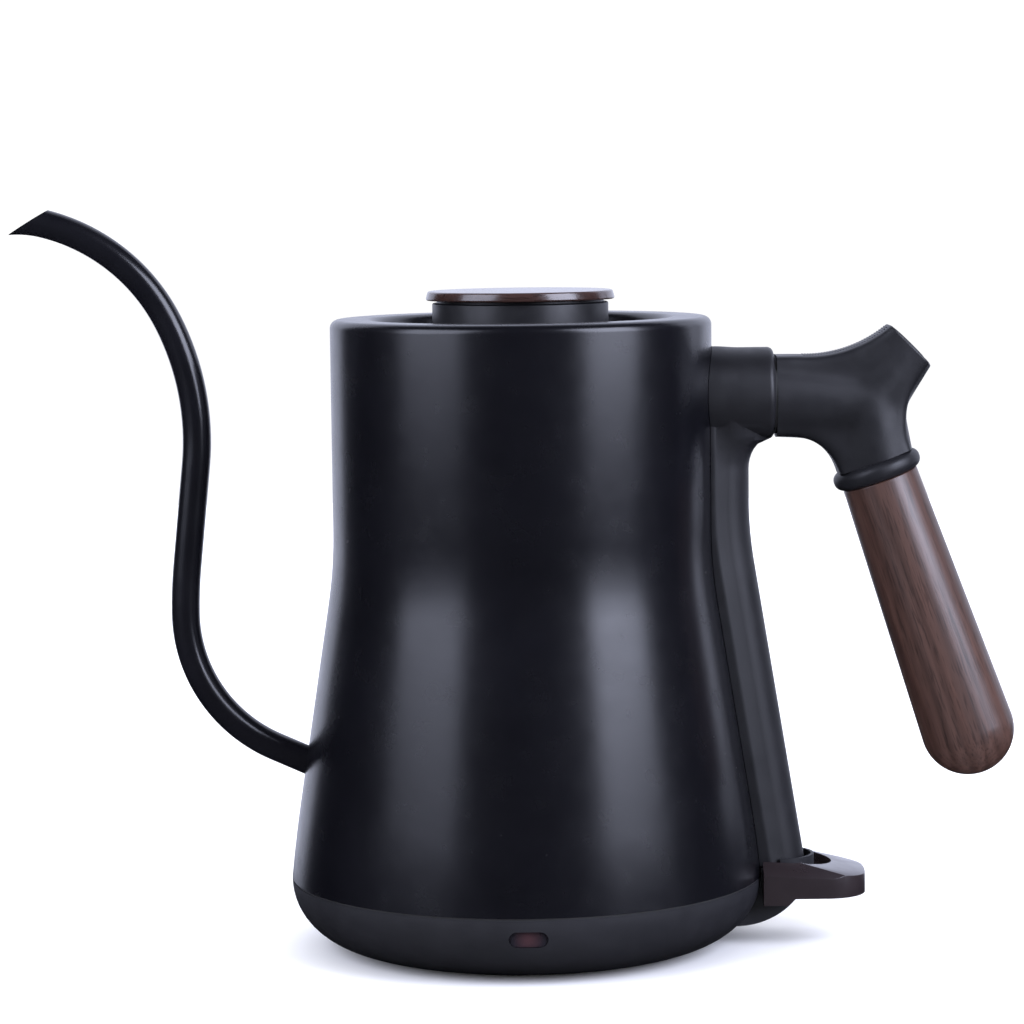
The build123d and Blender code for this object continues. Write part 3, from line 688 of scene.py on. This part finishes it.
# ---------------- sub-assemblies
@dataclass
class SubAssembly:
    """What every sub-assembly shares: its palette and the way a mesh becomes a piece."""
    palette: Palette

    def deliver(self, piece: Mesh, finish: Finish, *nodes: str, body: Body = Body.KETTLE,
                smooth: float = 32.0) -> None:
        """Turn a finished mesh into a piece of the kettle, in metres, riding on its body.

        Args:
            piece: the mesh, in millimetres.
            finish: its surface.
            *nodes: the CAD nodes that it stands for.
            body: the CAD body that it moves with.
            smooth: edges under this angle in degrees are shaded smooth.
        """
        activate(piece)
        piece.scale = (MM, MM, MM)
        bpy.ops.object.transform_apply()
        bpy.ops.object.shade_smooth_by_angle(angle=radians(smooth))
        piece.data.materials.clear()
        piece.data.materials.append(self.palette.material(finish))
        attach(piece, body.value)
        if nodes:
            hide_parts(*nodes)
        LOG.info("%s: %d faces on %s", piece.name, len(piece.data.polygons), body.value)

    def coat(self, finish: Finish, *nodes: str) -> None:
        """Give CAD nodes that keep their shape a finish of their own.

        Args:
            finish: their surface.
            *nodes: their names.
        """
        for name in nodes:
            node = bpy.data.objects[name]
            node.data.materials.clear()
            node.data.materials.append(self.palette.material(finish))
            LOG.info("%s: CAD node in %s", name, finish.name)


@dataclass
class Vessel(SubAssembly):
    """Painted steel body: hip, cone, waist, rim, lid recess and mouth."""
    waist_r: float = 55.0
    waist_z: float = 110.7
    waist_bend: float = 133.0
    hip_in: float = 1.12
    hip_z: float = 31.23
    hip_bend: float = 415.0
    rim_edge: float = 2.5
    shoulder_r: float = 43.0
    well_r: float = 40.4
    well_depth: float = 6.6
    mouth_r: float = 36.0
    mouth_depth: float = 16.2
    wall: float = 0.9

    def side(self, extra: float = 0.0) -> list[Triple]:
        """Corners of the outside from the seam to the rim.

        Args:
            extra: how far outside the real surface they lie.

        Returns:
            (radius, height, corner radius) of each.
        """
        low, high = span("body_vessel")
        seam_r = high.x + extra
        return [(seam_r, low.z, 0), (seam_r - self.hip_in, self.hip_z, self.hip_bend),
                (self.waist_r + extra, self.waist_z, self.waist_bend), (self.waist_r + extra, high.z, 0)]

    def solid(self, extra: float) -> Mesh:
        """A solid of the body's outside, for fitting other pieces to it.

        Args:
            extra: how much larger it is than the body.

        Returns:
            The solid.
        """
        corners = self.side(extra)
        outline = [(0.0, corners[0][1])] + rounded(corners) + [(0.0, corners[-1][1])]
        return turned("body_tool", outline)

    def build(self) -> None:
        """Turn the body and give it its wall."""
        corners = self.side()
        rim_z = corners[-1][1]
        ledge_z = rim_z - self.well_depth
        corners[-1] = (self.waist_r, rim_z, self.rim_edge)
        corners += [(self.shoulder_r, rim_z, 3.0), (self.well_r, ledge_z, 1.2), (self.mouth_r, ledge_z, 1.4),
                    (self.mouth_r, rim_z - self.mouth_depth, 0)]
        shell = turned("kettle_body", rounded(corners))
        modified(shell, "SOLIDIFY", thickness=self.wall, offset=-1.0, use_even_offset=True)
        self.deliver(shell, self.palette.paint, "body_vessel")


@dataclass
class Spout(SubAssembly):
    """Swan-neck spout: one tube with five bends in the XZ plane and cut to a lip."""
    start: Point = (-60.0, 52.25)
    heading: float = 156.0
    radius: float = 4.1
    wall: float = 0.7
    sides: int = 56
    # each is (radius, turn in degrees), or (0, straight length)
    bends: tuple[Point, ...] = ((0.0, 14.0), (43.0, -66.0), (132.0, -6.0), (0.0, 30.0), (76.0, 32.0),
                                (54.0, 50.0), (32.0, 18.0), (0.0, 4.0))
    lip_top: Point = (-136.3, 214.2)
    lip_low: Point = (-148.2, 207.0)

    def build(self) -> None:
        """Spin each bend, extrude each straight run, cut the lip and close its rim."""
        deselect()
        bpy.ops.mesh.primitive_circle_add(vertices=self.sides, radius=self.radius)
        tube = added("spout")
        angle = radians(self.heading)
        placed(tube, (self.start[0], 0, self.start[1]), (cos(angle), 0, sin(angle)))
        tip = Vector((self.start[0], 0, self.start[1]))
        with editing(tube):
            for radius, amount in self.bends:
                ahead = Vector((cos(angle), 0, sin(angle)))
                if not radius:
                    extruded(ahead * amount)
                    tip += ahead * amount
                    continue
                left = Vector((-sin(angle), 0, cos(angle))) * copysign(radius, amount)
                sweep = radians(amount)
                steps = max(4, round(abs(amount) / 2))
                centre = tip + left
                bpy.ops.mesh.spin(steps=steps, angle=sweep, center=centre, axis=(0, 1, 0))
                tip = centre + Matrix.Rotation(-sweep, 3, "Y") @ (-left)
                angle += sweep
            outwards()
        modified(tube, "SOLIDIFY", thickness=self.wall, offset=-1.0, use_even_offset=True)
        slope = (self.lip_top[0] - self.lip_low[0], self.lip_top[1] - self.lip_low[1])
        sliced(tube, (self.lip_top[0], 0, self.lip_top[1]), (-slope[1], 0, slope[0]), fill=False)
        with editing(tube, Part.EDGE):
            bpy.ops.mesh.select_all(action="DESELECT")
            bpy.ops.mesh.select_non_manifold()
            bpy.ops.mesh.bridge_edge_loops()
        self.deliver(tube, self.palette.spout, "spout_tube", smooth=40.0)
        self.coat(self.palette.stainless, "spout_filter")


@dataclass
class Handle(SubAssembly):
    """Spine with its collar, yoke with thumb ribs, bead and walnut grip."""
    vessel: Vessel
    column_r: float = 9.2
    band_half: float = 10.4
    band_depth: float = 23.2
    groove: float = 9.0
    spine_x: float = 65.6
    foot: Point = (81.2, 23.4)
    slope: float = 9.2
    bend: float = 112.0
    fillet: Point = (6.0, 8.6)
    spine_top: float = 155.0
    spine_spread: float = 0.37
    flare_steps: int = 12
    collar_r: float = 13.3
    collar_z: float = 159.5
    collar_edge: float = 1.8
    crotch: Point = (99.6, 156.2)
    horn_end: Point = (111.85, 173.4)
    horn_r: float = 8.1
    horn_half: float = 7.8
    arm: Triple = (65.0, 0.0, 158.9)
    arm_r: float = 11.9
    crotch_r: float = 10.8
    web: float = 8.2
    web_x: float = 66.0
    thumb: tuple[Point, Point] = ((80.0, 170.5), (94.4, 172.3))
    back: tuple[Point, Point] = ((110.9, 154.5), (111.0, 147.0))
    crook: tuple[Point, Point] = ((87.2, 143.4), (78.0, 147.2))
    voxel: float = 0.55
    smoothing: int = 110
    disc_r: float = 6.3
    disc_t: float = 1.2
    grip_top: Point = (103.6, 134.4)
    grip_tilt: float = 19.06
    grip_r: Point = (11.1, 13.5)
    grip_length: float = 91.3
    ring_r: float = 13.0
    ring_t: float = 5.4
    leg_r: float = 10.9
    ribs: int = 32
    rib_start: Point = (81.5, 170.6)
    rib_half: float = 4.2
    rib_r: float = 0.21
    rib_steps: int = 10
    bore_r: float = 4.0

    def grip_way(self) -> Vector:
        """Direction of the grip, downwards."""
        tilt = radians(self.grip_tilt)
        return Vector((sin(tilt), 0, -cos(tilt)))

    def grip_point(self, distance: float) -> Vector:
        """A point on the grip's axis, at a distance below the top of the wood."""
        return Vector((self.grip_top[0], 0, self.grip_top[1])) + self.grip_way() * distance

    def section(self) -> list[Point]:
        """Plan of the spine: a flat-sided band with a round column in front of it."""
        edge = self.spine_x - self.column_r
        band = rounded([(self.spine_x - self.band_depth, self.band_half, 0),
                        (edge - 1.2, self.band_half, 3.0), (edge + 1.9, self.groove, 0)])
        lean = degrees(asin(self.groove / self.column_r))
        column = arc((edge, 0), (self.column_r, self.column_r), lean, 0, 14)
        half = band[:-1] + column
        return half + [(x, -y) for x, y in reversed(half[:-1])]

    def spine(self) -> None:
        """Extrude the section down its path, flare it into the collar and fit it to the body."""
        top = self.collar_z - self.collar_r - self.fillet[1]
        slope = radians(self.slope)
        knee = self.foot[1] + (self.foot[0] - self.spine_x) / tan(slope)
        bend_top = knee + self.bend * tan(slope / 2)
        spine = drawn("spine", [(x, y, top) for x, y in self.section()], closed=True)
        column_x = self.spine_x - self.column_r
        with editing(spine):
            extruded((0, 0, bend_top - top))
            bpy.ops.mesh.spin(steps=8, angle=slope, center=(self.spine_x + self.bend, 0, bend_top),
                              axis=(0, 1, 0))
            down = Vector((sin(slope), 0, -cos(slope))) * (bend_top - self.foot[1]) * 1.02
            extruded(down)
            bpy.ops.mesh.edge_face_add()
            rise, wide, thick = top, 1.0, 1.0
            for step in range(1, self.flare_steps + 1):
                level = top + (self.spine_top - top) * step / self.flare_steps
                lift = min((level - top) / self.fillet[1], 1.0)
                reach = 1 + self.fillet[0] * (1 - sqrt(1 - lift ** 2)) / self.column_r
                spread = 1 + self.spine_spread * (step / self.flare_steps) ** 2
                pick(spine, Part.VERTEX, lambda co, _, z=rise: abs(co.z - z) < WELD)
                extruded((0, 0, level - rise))
                pick(spine, Part.VERTEX,
                     lambda co, _, z=level: abs(co.z - z) < WELD and co.x > column_x + 1.5)
                bpy.ops.transform.resize(value=(reach / wide, spread / thick, 1),
                                         center_override=(column_x, 0, level))
                rise, wide, thick = level, reach, spread
            pick(spine, Part.VERTEX, lambda co, _: abs(co.z - rise) < WELD)
            bpy.ops.mesh.edge_face_add()
            outwards()
        joined(spine, self.collar(), Join.ADD)
        joined(spine, self.vessel.solid(0.12), Join.CUT)
        sliced(spine, (0, 0, self.foot[1] - 0.6), (0, 0, -1))
        self.deliver(spine, self.palette.handle, "spine_shell", smooth=36.0)

    def collar(self) -> Mesh:
        """The barrel between body and yoke, a little wider at the body."""
        start = 45.0
        length = span("neck_gasket")[0].x - start
        outline = rounded([(0, 0, 0), (self.collar_r + 0.5, 0, 0), (self.collar_r + 0.35, 12.0, 20.0),
                           (self.collar_r, 17.0, 20.0), (self.collar_r, length, self.collar_edge),
                           (0, length, 0)])
        return placed(turned("collar", outline, 96), (start, 0, self.collar_z), (1, 0, 0))

    def bar(self, name: str, start: Vector, end: Vector, radii: Point) -> Mesh:
        """A tapered round bar.

        Args:
            name: the new object's name.
            start: the middle of its first end.
            end: the middle of its other end.
            radii: its radius at each.

        Returns:
            The bar.
        """
        way = end - start
        deselect()
        bpy.ops.mesh.primitive_cone_add(vertices=72, radius1=radii[0], radius2=radii[1], depth=way.length,
                                        location=(0, 0, way.length / 2))
        return placed(added(name), start, way)

    def horn_corner(self, side: int, past: float) -> Point:
        """A corner of the horn's side view, past the horn's end; side 1 is the upper one."""
        across = Vector((-DIAGONAL, DIAGONAL)) * side * self.horn_half
        return tuple(Vector(self.horn_end) + across + Vector((DIAGONAL, DIAGONAL)) * past)

    def yoke_side(self) -> list[Point]:
        """Side view of the web that fills the yoke's corners."""
        leg = self.grip_point(-self.ring_t)
        tilt = radians(self.grip_tilt)
        across = Vector((cos(tilt), sin(tilt))) * (self.leg_r + 0.1)
        past = Vector((sin(tilt), -cos(tilt))) * 7.0
        right, left = Vector((leg.x, leg.z)) + across, Vector((leg.x, leg.z)) - across
        thumb = arc_through(*self.thumb, self.horn_corner(1, 0), 16)
        back = arc_through(self.horn_corner(-1, 0), *self.back, 14)
        crook = arc_through(tuple(left), *self.crook, 14)
        ends = [self.horn_corner(1, 4), self.horn_corner(-1, 4)]
        leg_end = [tuple(right), tuple(right + past), tuple(left + past)]
        return ([(self.web_x, self.thumb[0][1])] + thumb + ends + back + leg_end + crook
                + [(self.web_x, self.crook[1][1])])

    def yoke(self) -> None:
        """Blend arm, horn, leg and web into one form, then cut its three ends flat."""
        crotch, horn = (Vector((x, 0, z)) for x, z in (self.crotch, self.horn_end))
        out = Vector((DIAGONAL, 0, DIAGONAL))
        yoke = self.bar("yoke", Vector(self.arm), crotch, (self.arm_r, self.crotch_r))
        deselect()
        bpy.ops.mesh.primitive_uv_sphere_add(segments=64, ring_count=32, radius=self.crotch_r,
                                             location=crotch)
        joined(yoke, added("crotch"), Join.ADD)
        joined(yoke, self.bar("horn", crotch, horn + out * 5, (10.5, self.horn_r)), Join.ADD)
        joined(yoke, self.bar("leg", crotch, self.grip_point(2.0), (10.7, self.leg_r - 0.3)), Join.ADD)
        joined(yoke, slab("web", self.yoke_side(), -self.web, self.web), Join.ADD)
        modified(yoke, "REMESH", mode="VOXEL", voxel_size=self.voxel)
        modified(yoke, "SMOOTH", factor=0.5, iterations=self.smoothing)
        sliced(yoke, (span("handle_neck")[0].x, 0, 0), (-1, 0, 0))
        sliced(yoke, self.grip_point(-self.ring_t), self.grip_way())
        sliced(yoke, horn - out * 0.5, out)
        with editing(yoke, Part.FACE):
            pick(yoke, Part.FACE, lambda co, no: no.dot(out) > 0.9999 and (co - horn).length < 2.0)
            bpy.ops.mesh.inset(thickness=0.12, depth=0.3)
            bpy.ops.mesh.inset(thickness=0.32, depth=0.18)
        self.thumb_ribs(yoke)
        self.deliver(yoke, self.palette.handle, "handle_neck", smooth=40.0)
        disc = turned("horn_disc", rounded([(0, 0, 0), (self.disc_r, 0, 0), (self.disc_r, self.disc_t, 0.35),
                                            (0, self.disc_t, 0)]), 64)
        self.deliver(placed(disc, horn - out * 0.9, out), self.palette.handle, "horn_cap")

    def thumb_ribs(self, yoke: Mesh) -> None:
        """Fine ribs across the thumb rest.

        Args:
            yoke: the yoke, on whose surface they lie.
        """
        ribs = None
        for x, z in arc_through(self.rib_start, self.thumb[1], self.horn_corner(1, -1.5), self.ribs - 1):
            across = [(x, self.rib_half * (2 * i / self.rib_steps - 1), z + 1.0)
                      for i in range(self.rib_steps + 1)]
            rib = drawn("thumb_rib", across)
            if ribs is not None:
                rib.select_set(True)
                ribs.select_set(True)
                bpy.context.view_layer.objects.active = ribs
                bpy.ops.object.join()
            else:
                ribs = rib
        modified(ribs, "SHRINKWRAP", target=yoke, wrap_method="PROJECT", use_project_z=True,
                 use_negative_direction=True, use_positive_direction=True)
        activate(ribs)
        bpy.ops.object.convert(target="CURVE")
        ribs = bpy.context.object
        ribs.data.bevel_depth = self.rib_r
        ribs.data.bevel_resolution = 2
        ribs.data.use_fill_caps = True
        bpy.ops.object.convert(target="MESH")
        ribs = bpy.context.object
        ribs.name = "thumb_ribs"
        with editing(ribs):
            bpy.ops.mesh.remove_doubles(threshold=WELD)
        self.deliver(ribs, self.palette.handle)

    def grip(self) -> None:
        """Turn the bead and the walnut grip about the grip's axis."""
        hole = self.bore_r + 0.1
        bead = rounded([(hole, 0, 0), (self.ring_r, 0, 2.4), (self.ring_r, self.ring_t, 2.6),
                        (hole, self.ring_t, 0)])
        ring = turned("grip_bead", bead, 96, closed=True)
        placed(ring, self.grip_point(-self.ring_t), self.grip_way())
        self.deliver(ring, self.palette.handle, "grip_ring")
        top, end = self.grip_r
        straight = self.grip_length - end
        outline = [(0.0, 30.0), (self.bore_r, 30.0), (self.bore_r, 0.0)]
        outline += rounded([(self.bore_r, 0, 0), (top, 0, 0.5), (end, straight, 0)])[1:]
        outline += arc((0, straight), (end, end), 0, 90, 20)[1:]
        wood = placed(turned("walnut_grip", outline, 128), self.grip_point(0), self.grip_way())
        self.deliver(wood, self.palette.walnut, "wood_grip")

    def build(self) -> None:
        """Make every piece of the handle."""
        self.spine()
        self.yoke()
        self.grip()
        self.coat(self.palette.silicone, "neck_gasket", "steam_tube", "steam_port")
        self.coat(self.palette.stainless, "handle_bracket", "neck_spigot", "lock_screw", "grip_rod",
                  "steam_disc")
        self.coat(self.palette.brass, "grip_inserts")
        self.coat(self.palette.control, "sensor_cup")


@dataclass
class Lid(SubAssembly):
    """Painted lid dish, black knob with its reveal and the walnut cap."""
    knob_wall: float = 2.2
    boss_r: float = 4.6
    screw_r: float = 2.0
    reveal: float = 1.3
    hole_r: float = 2.2
    plate: float = 1.0

    def build(self) -> None:
        """Turn the three shown pieces and coat the others."""
        low, high = span("lid_plate")
        top = low.z + self.plate
        dish = [(self.hole_r, low.z, 0), (high.x, low.z, 0.3), (high.x, high.z, 0.45),
                (high.x - self.plate, high.z, 0.45), (high.x - 1.3, top, 0.8), (self.hole_r, top, 0)]
        dish_piece = turned("lid_dish", rounded(dish), closed=True)
        self.deliver(dish_piece, self.palette.paint, "lid_plate", body=Body.LID)
        low, high = span("knob_body")
        cap_low, cap_high = span("knob_cap")
        shoulder = high.z - 0.8
        roof = shoulder - self.knob_wall
        inner = high.x - self.knob_wall
        knob = [(0, high.z, 0), (high.x - self.reveal, high.z, 0), (high.x - self.reveal, shoulder, 0.2),
                (high.x, shoulder, 0.5), (high.x, low.z, 0.3), (inner, low.z, 0), (inner, roof, 1.0),
                (self.boss_r, roof, 0.6), (self.boss_r, low.z, 0), (self.screw_r, low.z, 0),
                (self.screw_r, roof, 0), (0, roof, 0)]
        knob_piece = turned("lid_knob", rounded(knob), 144)
        self.deliver(knob_piece, self.palette.knob, "knob_body", body=Body.LID)
        cap = [(0, cap_low.z, 0), (cap_high.x, cap_low.z, 0.5), (cap_high.x - 0.7, cap_high.z, 0.7),
               (0, cap_high.z, 0)]
        cap_piece = turned("walnut_cap", rounded(cap), 144)
        self.deliver(cap_piece, self.palette.walnut_flat, "knob_cap", body=Body.LID)
        self.coat(self.palette.stainless, "lid_liner", "lid_screw")
        self.coat(self.palette.silicone, "lid_seal")


@dataclass
class Switch(SubAssembly):
    """Glossy lever: a fork round the housing that widens into a thumb plate."""
    arm_start: float = 68.2
    heel_z: float = 12.2
    under_z: float = 14.1
    hole_r: float = 12.5
    hole_x: float = 76.5
    ridge: tuple[Point, Point] = ((75.0, 25.7), (98.0, 20.3))
    crown: float = 110.0
    nose_r: float = 11.5
    facet: tuple[Point, Point] = ((75.0, 20.6), (92.0, 19.6))
    facet_rise: float = 0.95

    def build(self) -> None:
        """Cut the lever from a plan, a side view, a crowned top and two facets."""
        low, high = span("switch_lever")
        half, tip = high.y, high.x
        plan = rounded([(self.arm_start, -half, 0), (tip, -half, self.nose_r), (tip + 0.8, 0, 40.0),
                        (tip, half, self.nose_r), (self.arm_start, half, 0)], closed=True, turn=4.0)
        lever = slab("lever", plan, self.heel_z, 30.0, plan=True)
        joined(lever, slab("under", [(75.5, self.heel_z - 1), (75.5, self.heel_z), (77.4, self.under_z),
                                     (110.0, self.under_z), (110.0, self.heel_z - 1)], -20, 20), Join.CUT)
        keyhole = arc((self.hole_x, 0), (self.hole_r, self.hole_r), -90, 90, 40)
        keyhole = [(60.0, -self.hole_r)] + keyhole + [(60.0, self.hole_r)]
        joined(lever, slab("keyhole", keyhole, 0, 40, plan=True), Join.CUT)
        start, end = (Vector((x, 0, z)) for x, z in self.ridge)
        along = (end - start).normalized()
        below = Vector((along.z, 0, -along.x))
        deselect()
        bpy.ops.mesh.primitive_cylinder_add(vertices=512, radius=self.crown, depth=200)
        joined(lever, placed(added("crown"), start + below * self.crown, along), Join.KEEP)
        low_end, high_end = self.facet
        fall = (high_end[1] - low_end[1]) / (high_end[0] - low_end[0])
        for side_way in (-1, 1):
            sliced(lever, (low_end[0], side_way * half, low_end[1]), (-fall, side_way * self.facet_rise, 1.0))
        softened(lever, 0.35, angle=25.0)
        self.deliver(lever, self.palette.lever, "switch_lever", body=Body.SWITCH, smooth=30.0)
        self.coat(self.palette.stainless, "lever_pin", "return_leaf", "trip_pin")
        self.coat(self.palette.control, "lever_crank", "trip_lever")


@dataclass
class Lamp(SubAssembly):
    """Smoked indicator lens with a rounded front."""
    set_back: float = 0.48

    def build(self) -> None:
        """Stretch a round plug into a stadium and round its front edge."""
        low, high = span("indicator_lens")
        radius = (high.z - low.z) / 2
        spread = (high.x - low.x) / 2 - radius
        deselect()
        bpy.ops.mesh.primitive_cylinder_add(vertices=48, radius=radius, depth=high.y - low.y)
        lens = placed(added("lamp_lens"), (0, (low.y + high.y) / 2, (low.z + high.z) / 2), (0, -1, 0))
        with editing(lens):
            for side in (-1, 1):
                pick(lens, Part.VERTEX, lambda co, _, s=side: co.x * s > 0.01)
                bpy.ops.transform.translate(value=(spread * side, 0, 0))
            pick(lens, Part.FACE, lambda _, no: no.y < -0.9)
            for inset, lift in ((0.12, 0.25), (0.25, 0.15), (0.6, 0.08)):
                bpy.ops.mesh.inset(thickness=inset, depth=lift)
            bpy.ops.mesh.select_all(action="SELECT")
            bpy.ops.transform.translate(value=(0, self.set_back, 0))
        self.deliver(lens, self.palette.lens, "indicator_lens")
        self.coat(self.palette.board, "lamp_board")
        self.coat(self.palette.lamp_red, "lamp_led", "lamp_wires")


@dataclass
class Works(SubAssembly):
    """Base, heater and control: CAD nodes whose shapes are kept."""

    def build(self) -> None:
        """Coat each node."""
        self.coat(self.palette.base, "base_cover")
        self.coat(self.palette.silicone, "base_seal", "foot_ring")
        self.coat(self.palette.stainless, "vessel_floor", "base_screws", "floor_standoffs", "heating_element",
                  "bimetal_discs")
        self.coat(self.palette.aluminium, "heat_spreader")
        self.coat(self.palette.brass, "terminal_straps", "socket_contacts")
        self.coat(self.palette.control, "control_unit", "power_socket")


# ---------------- studio
@dataclass
class Softbox:
    """A soft lamp that stands off the kettle and faces it."""
    name: str
    azimuth: float
    elevation: float
    distance: float
    width: float
    height: float
    radiance: float
    colour: Triple = (0.76, 0.80, 1.0)

    def build(self, target: Vector) -> None:
        """Add the lamp.

        Args:
            target: the point that it faces, in metres.
        """
        a, e = radians(self.azimuth), radians(self.elevation)
        way = Vector((sin(a) * cos(e), -cos(a) * cos(e), sin(e)))
        lamp = bpy.data.lights.new(self.name, "AREA")
        lamp.shape = "RECTANGLE"
        lamp.size, lamp.size_y = self.width, self.height
        lamp.energy = self.radiance * pi * self.width * self.height
        lamp.color = self.colour
        stand = bpy.data.objects.new(self.name, lamp)
        bpy.context.scene.collection.objects.link(stand)
        stand.location = target + way * self.distance
        stand.rotation_euler = way.to_track_quat("Z", "Y").to_euler()
        stand.visible_camera = False


@dataclass
class Studio:
    """Pale floor, soft lamps, white surround and the camera."""
    target: Vector = field(default_factory=lambda: Vector((0.0, 0.0, 0.1)))
    camera_place: Triple = (-0.0031, -1.012, 0.2211)
    camera_pitch: float = 5.38
    camera_roll: float = -0.70
    lens: float = 123.2
    floor_half: float = 12.0
    floor_gap: float = 0.00015
    surround: float = 1.14

    def softboxes(self) -> list[Softbox]:
        """The lamps round the kettle; azimuth 0 is the camera's side and 90 is +X."""
        return [
            Softbox("left_softbox", -55.0, 26.5, 1.1, 0.80, 0.85, 5.1),
            Softbox("right_softbox", 55.0, 26.0, 1.1, 0.68, 0.85, 9.6),
            Softbox("side_softbox", 122.0, 14.0, 1.2, 0.30, 0.8, 1.6),
            Softbox("back_sheet", 180.0, 20.0, 1.3, 2.7, 1.7, 1.35),
            Softbox("top_softbox", 180.0, 62.0, 1.3, 1.0, 0.6, 0.8),
        ]

    def build(self) -> None:
        """Set up everything that isn't the kettle."""
        deselect()
        pale = Finish("studio_floor", Slot.BODY_PAINT, (0.88, 0.88, 0.89), (0.9, 0.9, 0.9), roughness=0.9,
                      specular=0.0, grain=300.0, height=1e-6).make()
        bpy.ops.mesh.primitive_plane_add(size=2 * self.floor_half, location=(0, 0, -self.floor_gap))
        floor = added("studio_floor")
        floor.visible_glossy = False
        floor.data.materials.append(pale)
        for box in self.softboxes():
            box.build(self.target)
        world = bpy.data.worlds.new("studio")
        bpy.context.scene.world = world
        world.use_nodes = True
        background = world.node_tree.nodes["Background"]
        background.inputs["Color"].default_value = (*WHITE, 1.0)
        background.inputs["Strength"].default_value = self.surround
        world.cycles_visibility.glossy = False
        bpy.context.scene.view_settings.view_transform = "Standard"
        self.camera()

    def camera(self) -> None:
        """Add the camera and make it the scene's."""
        data = bpy.data.cameras.new("camera")
        data.lens = self.lens
        data.sensor_width = 36.0
        data.clip_start, data.clip_end = 0.05, 20.0
        camera = bpy.data.objects.new("camera", data)
        bpy.context.scene.collection.objects.link(camera)
        tilt = Matrix.Rotation(radians(90 - self.camera_pitch), 4, "X")
        roll = Matrix.Rotation(radians(self.camera_roll), 4, "Z")
        camera.matrix_world = Matrix.Translation(self.camera_place) @ tilt @ roll
        bpy.context.scene.camera = camera


def corners(box: tuple[Vector, Vector]) -> list[list[float]]:
    """A box's two corners as plain lists."""
    return [list(corner) for corner in box]


def main() -> None:
    """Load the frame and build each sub-assembly round it."""
    logging.basicConfig(level=logging.INFO, format="%(name)s %(message)s")
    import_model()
    low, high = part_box("indicator_lens")
    lamp = Vector(((low.x + high.x) / 2, low.y, (low.z + high.z) / 2))
    palette = Palette(grip_tilt=radians(Handle.grip_tilt), lamp=lamp)
    vessel = Vessel(palette)
    assemblies = [vessel, Spout(palette), Handle(palette, vessel), Lid(palette), Switch(palette),
                  Lamp(palette), Works(palette)]
    for assembly in assemblies:
        assembly.build()
    Studio().build()


if __name__ == "__main__":
    main()
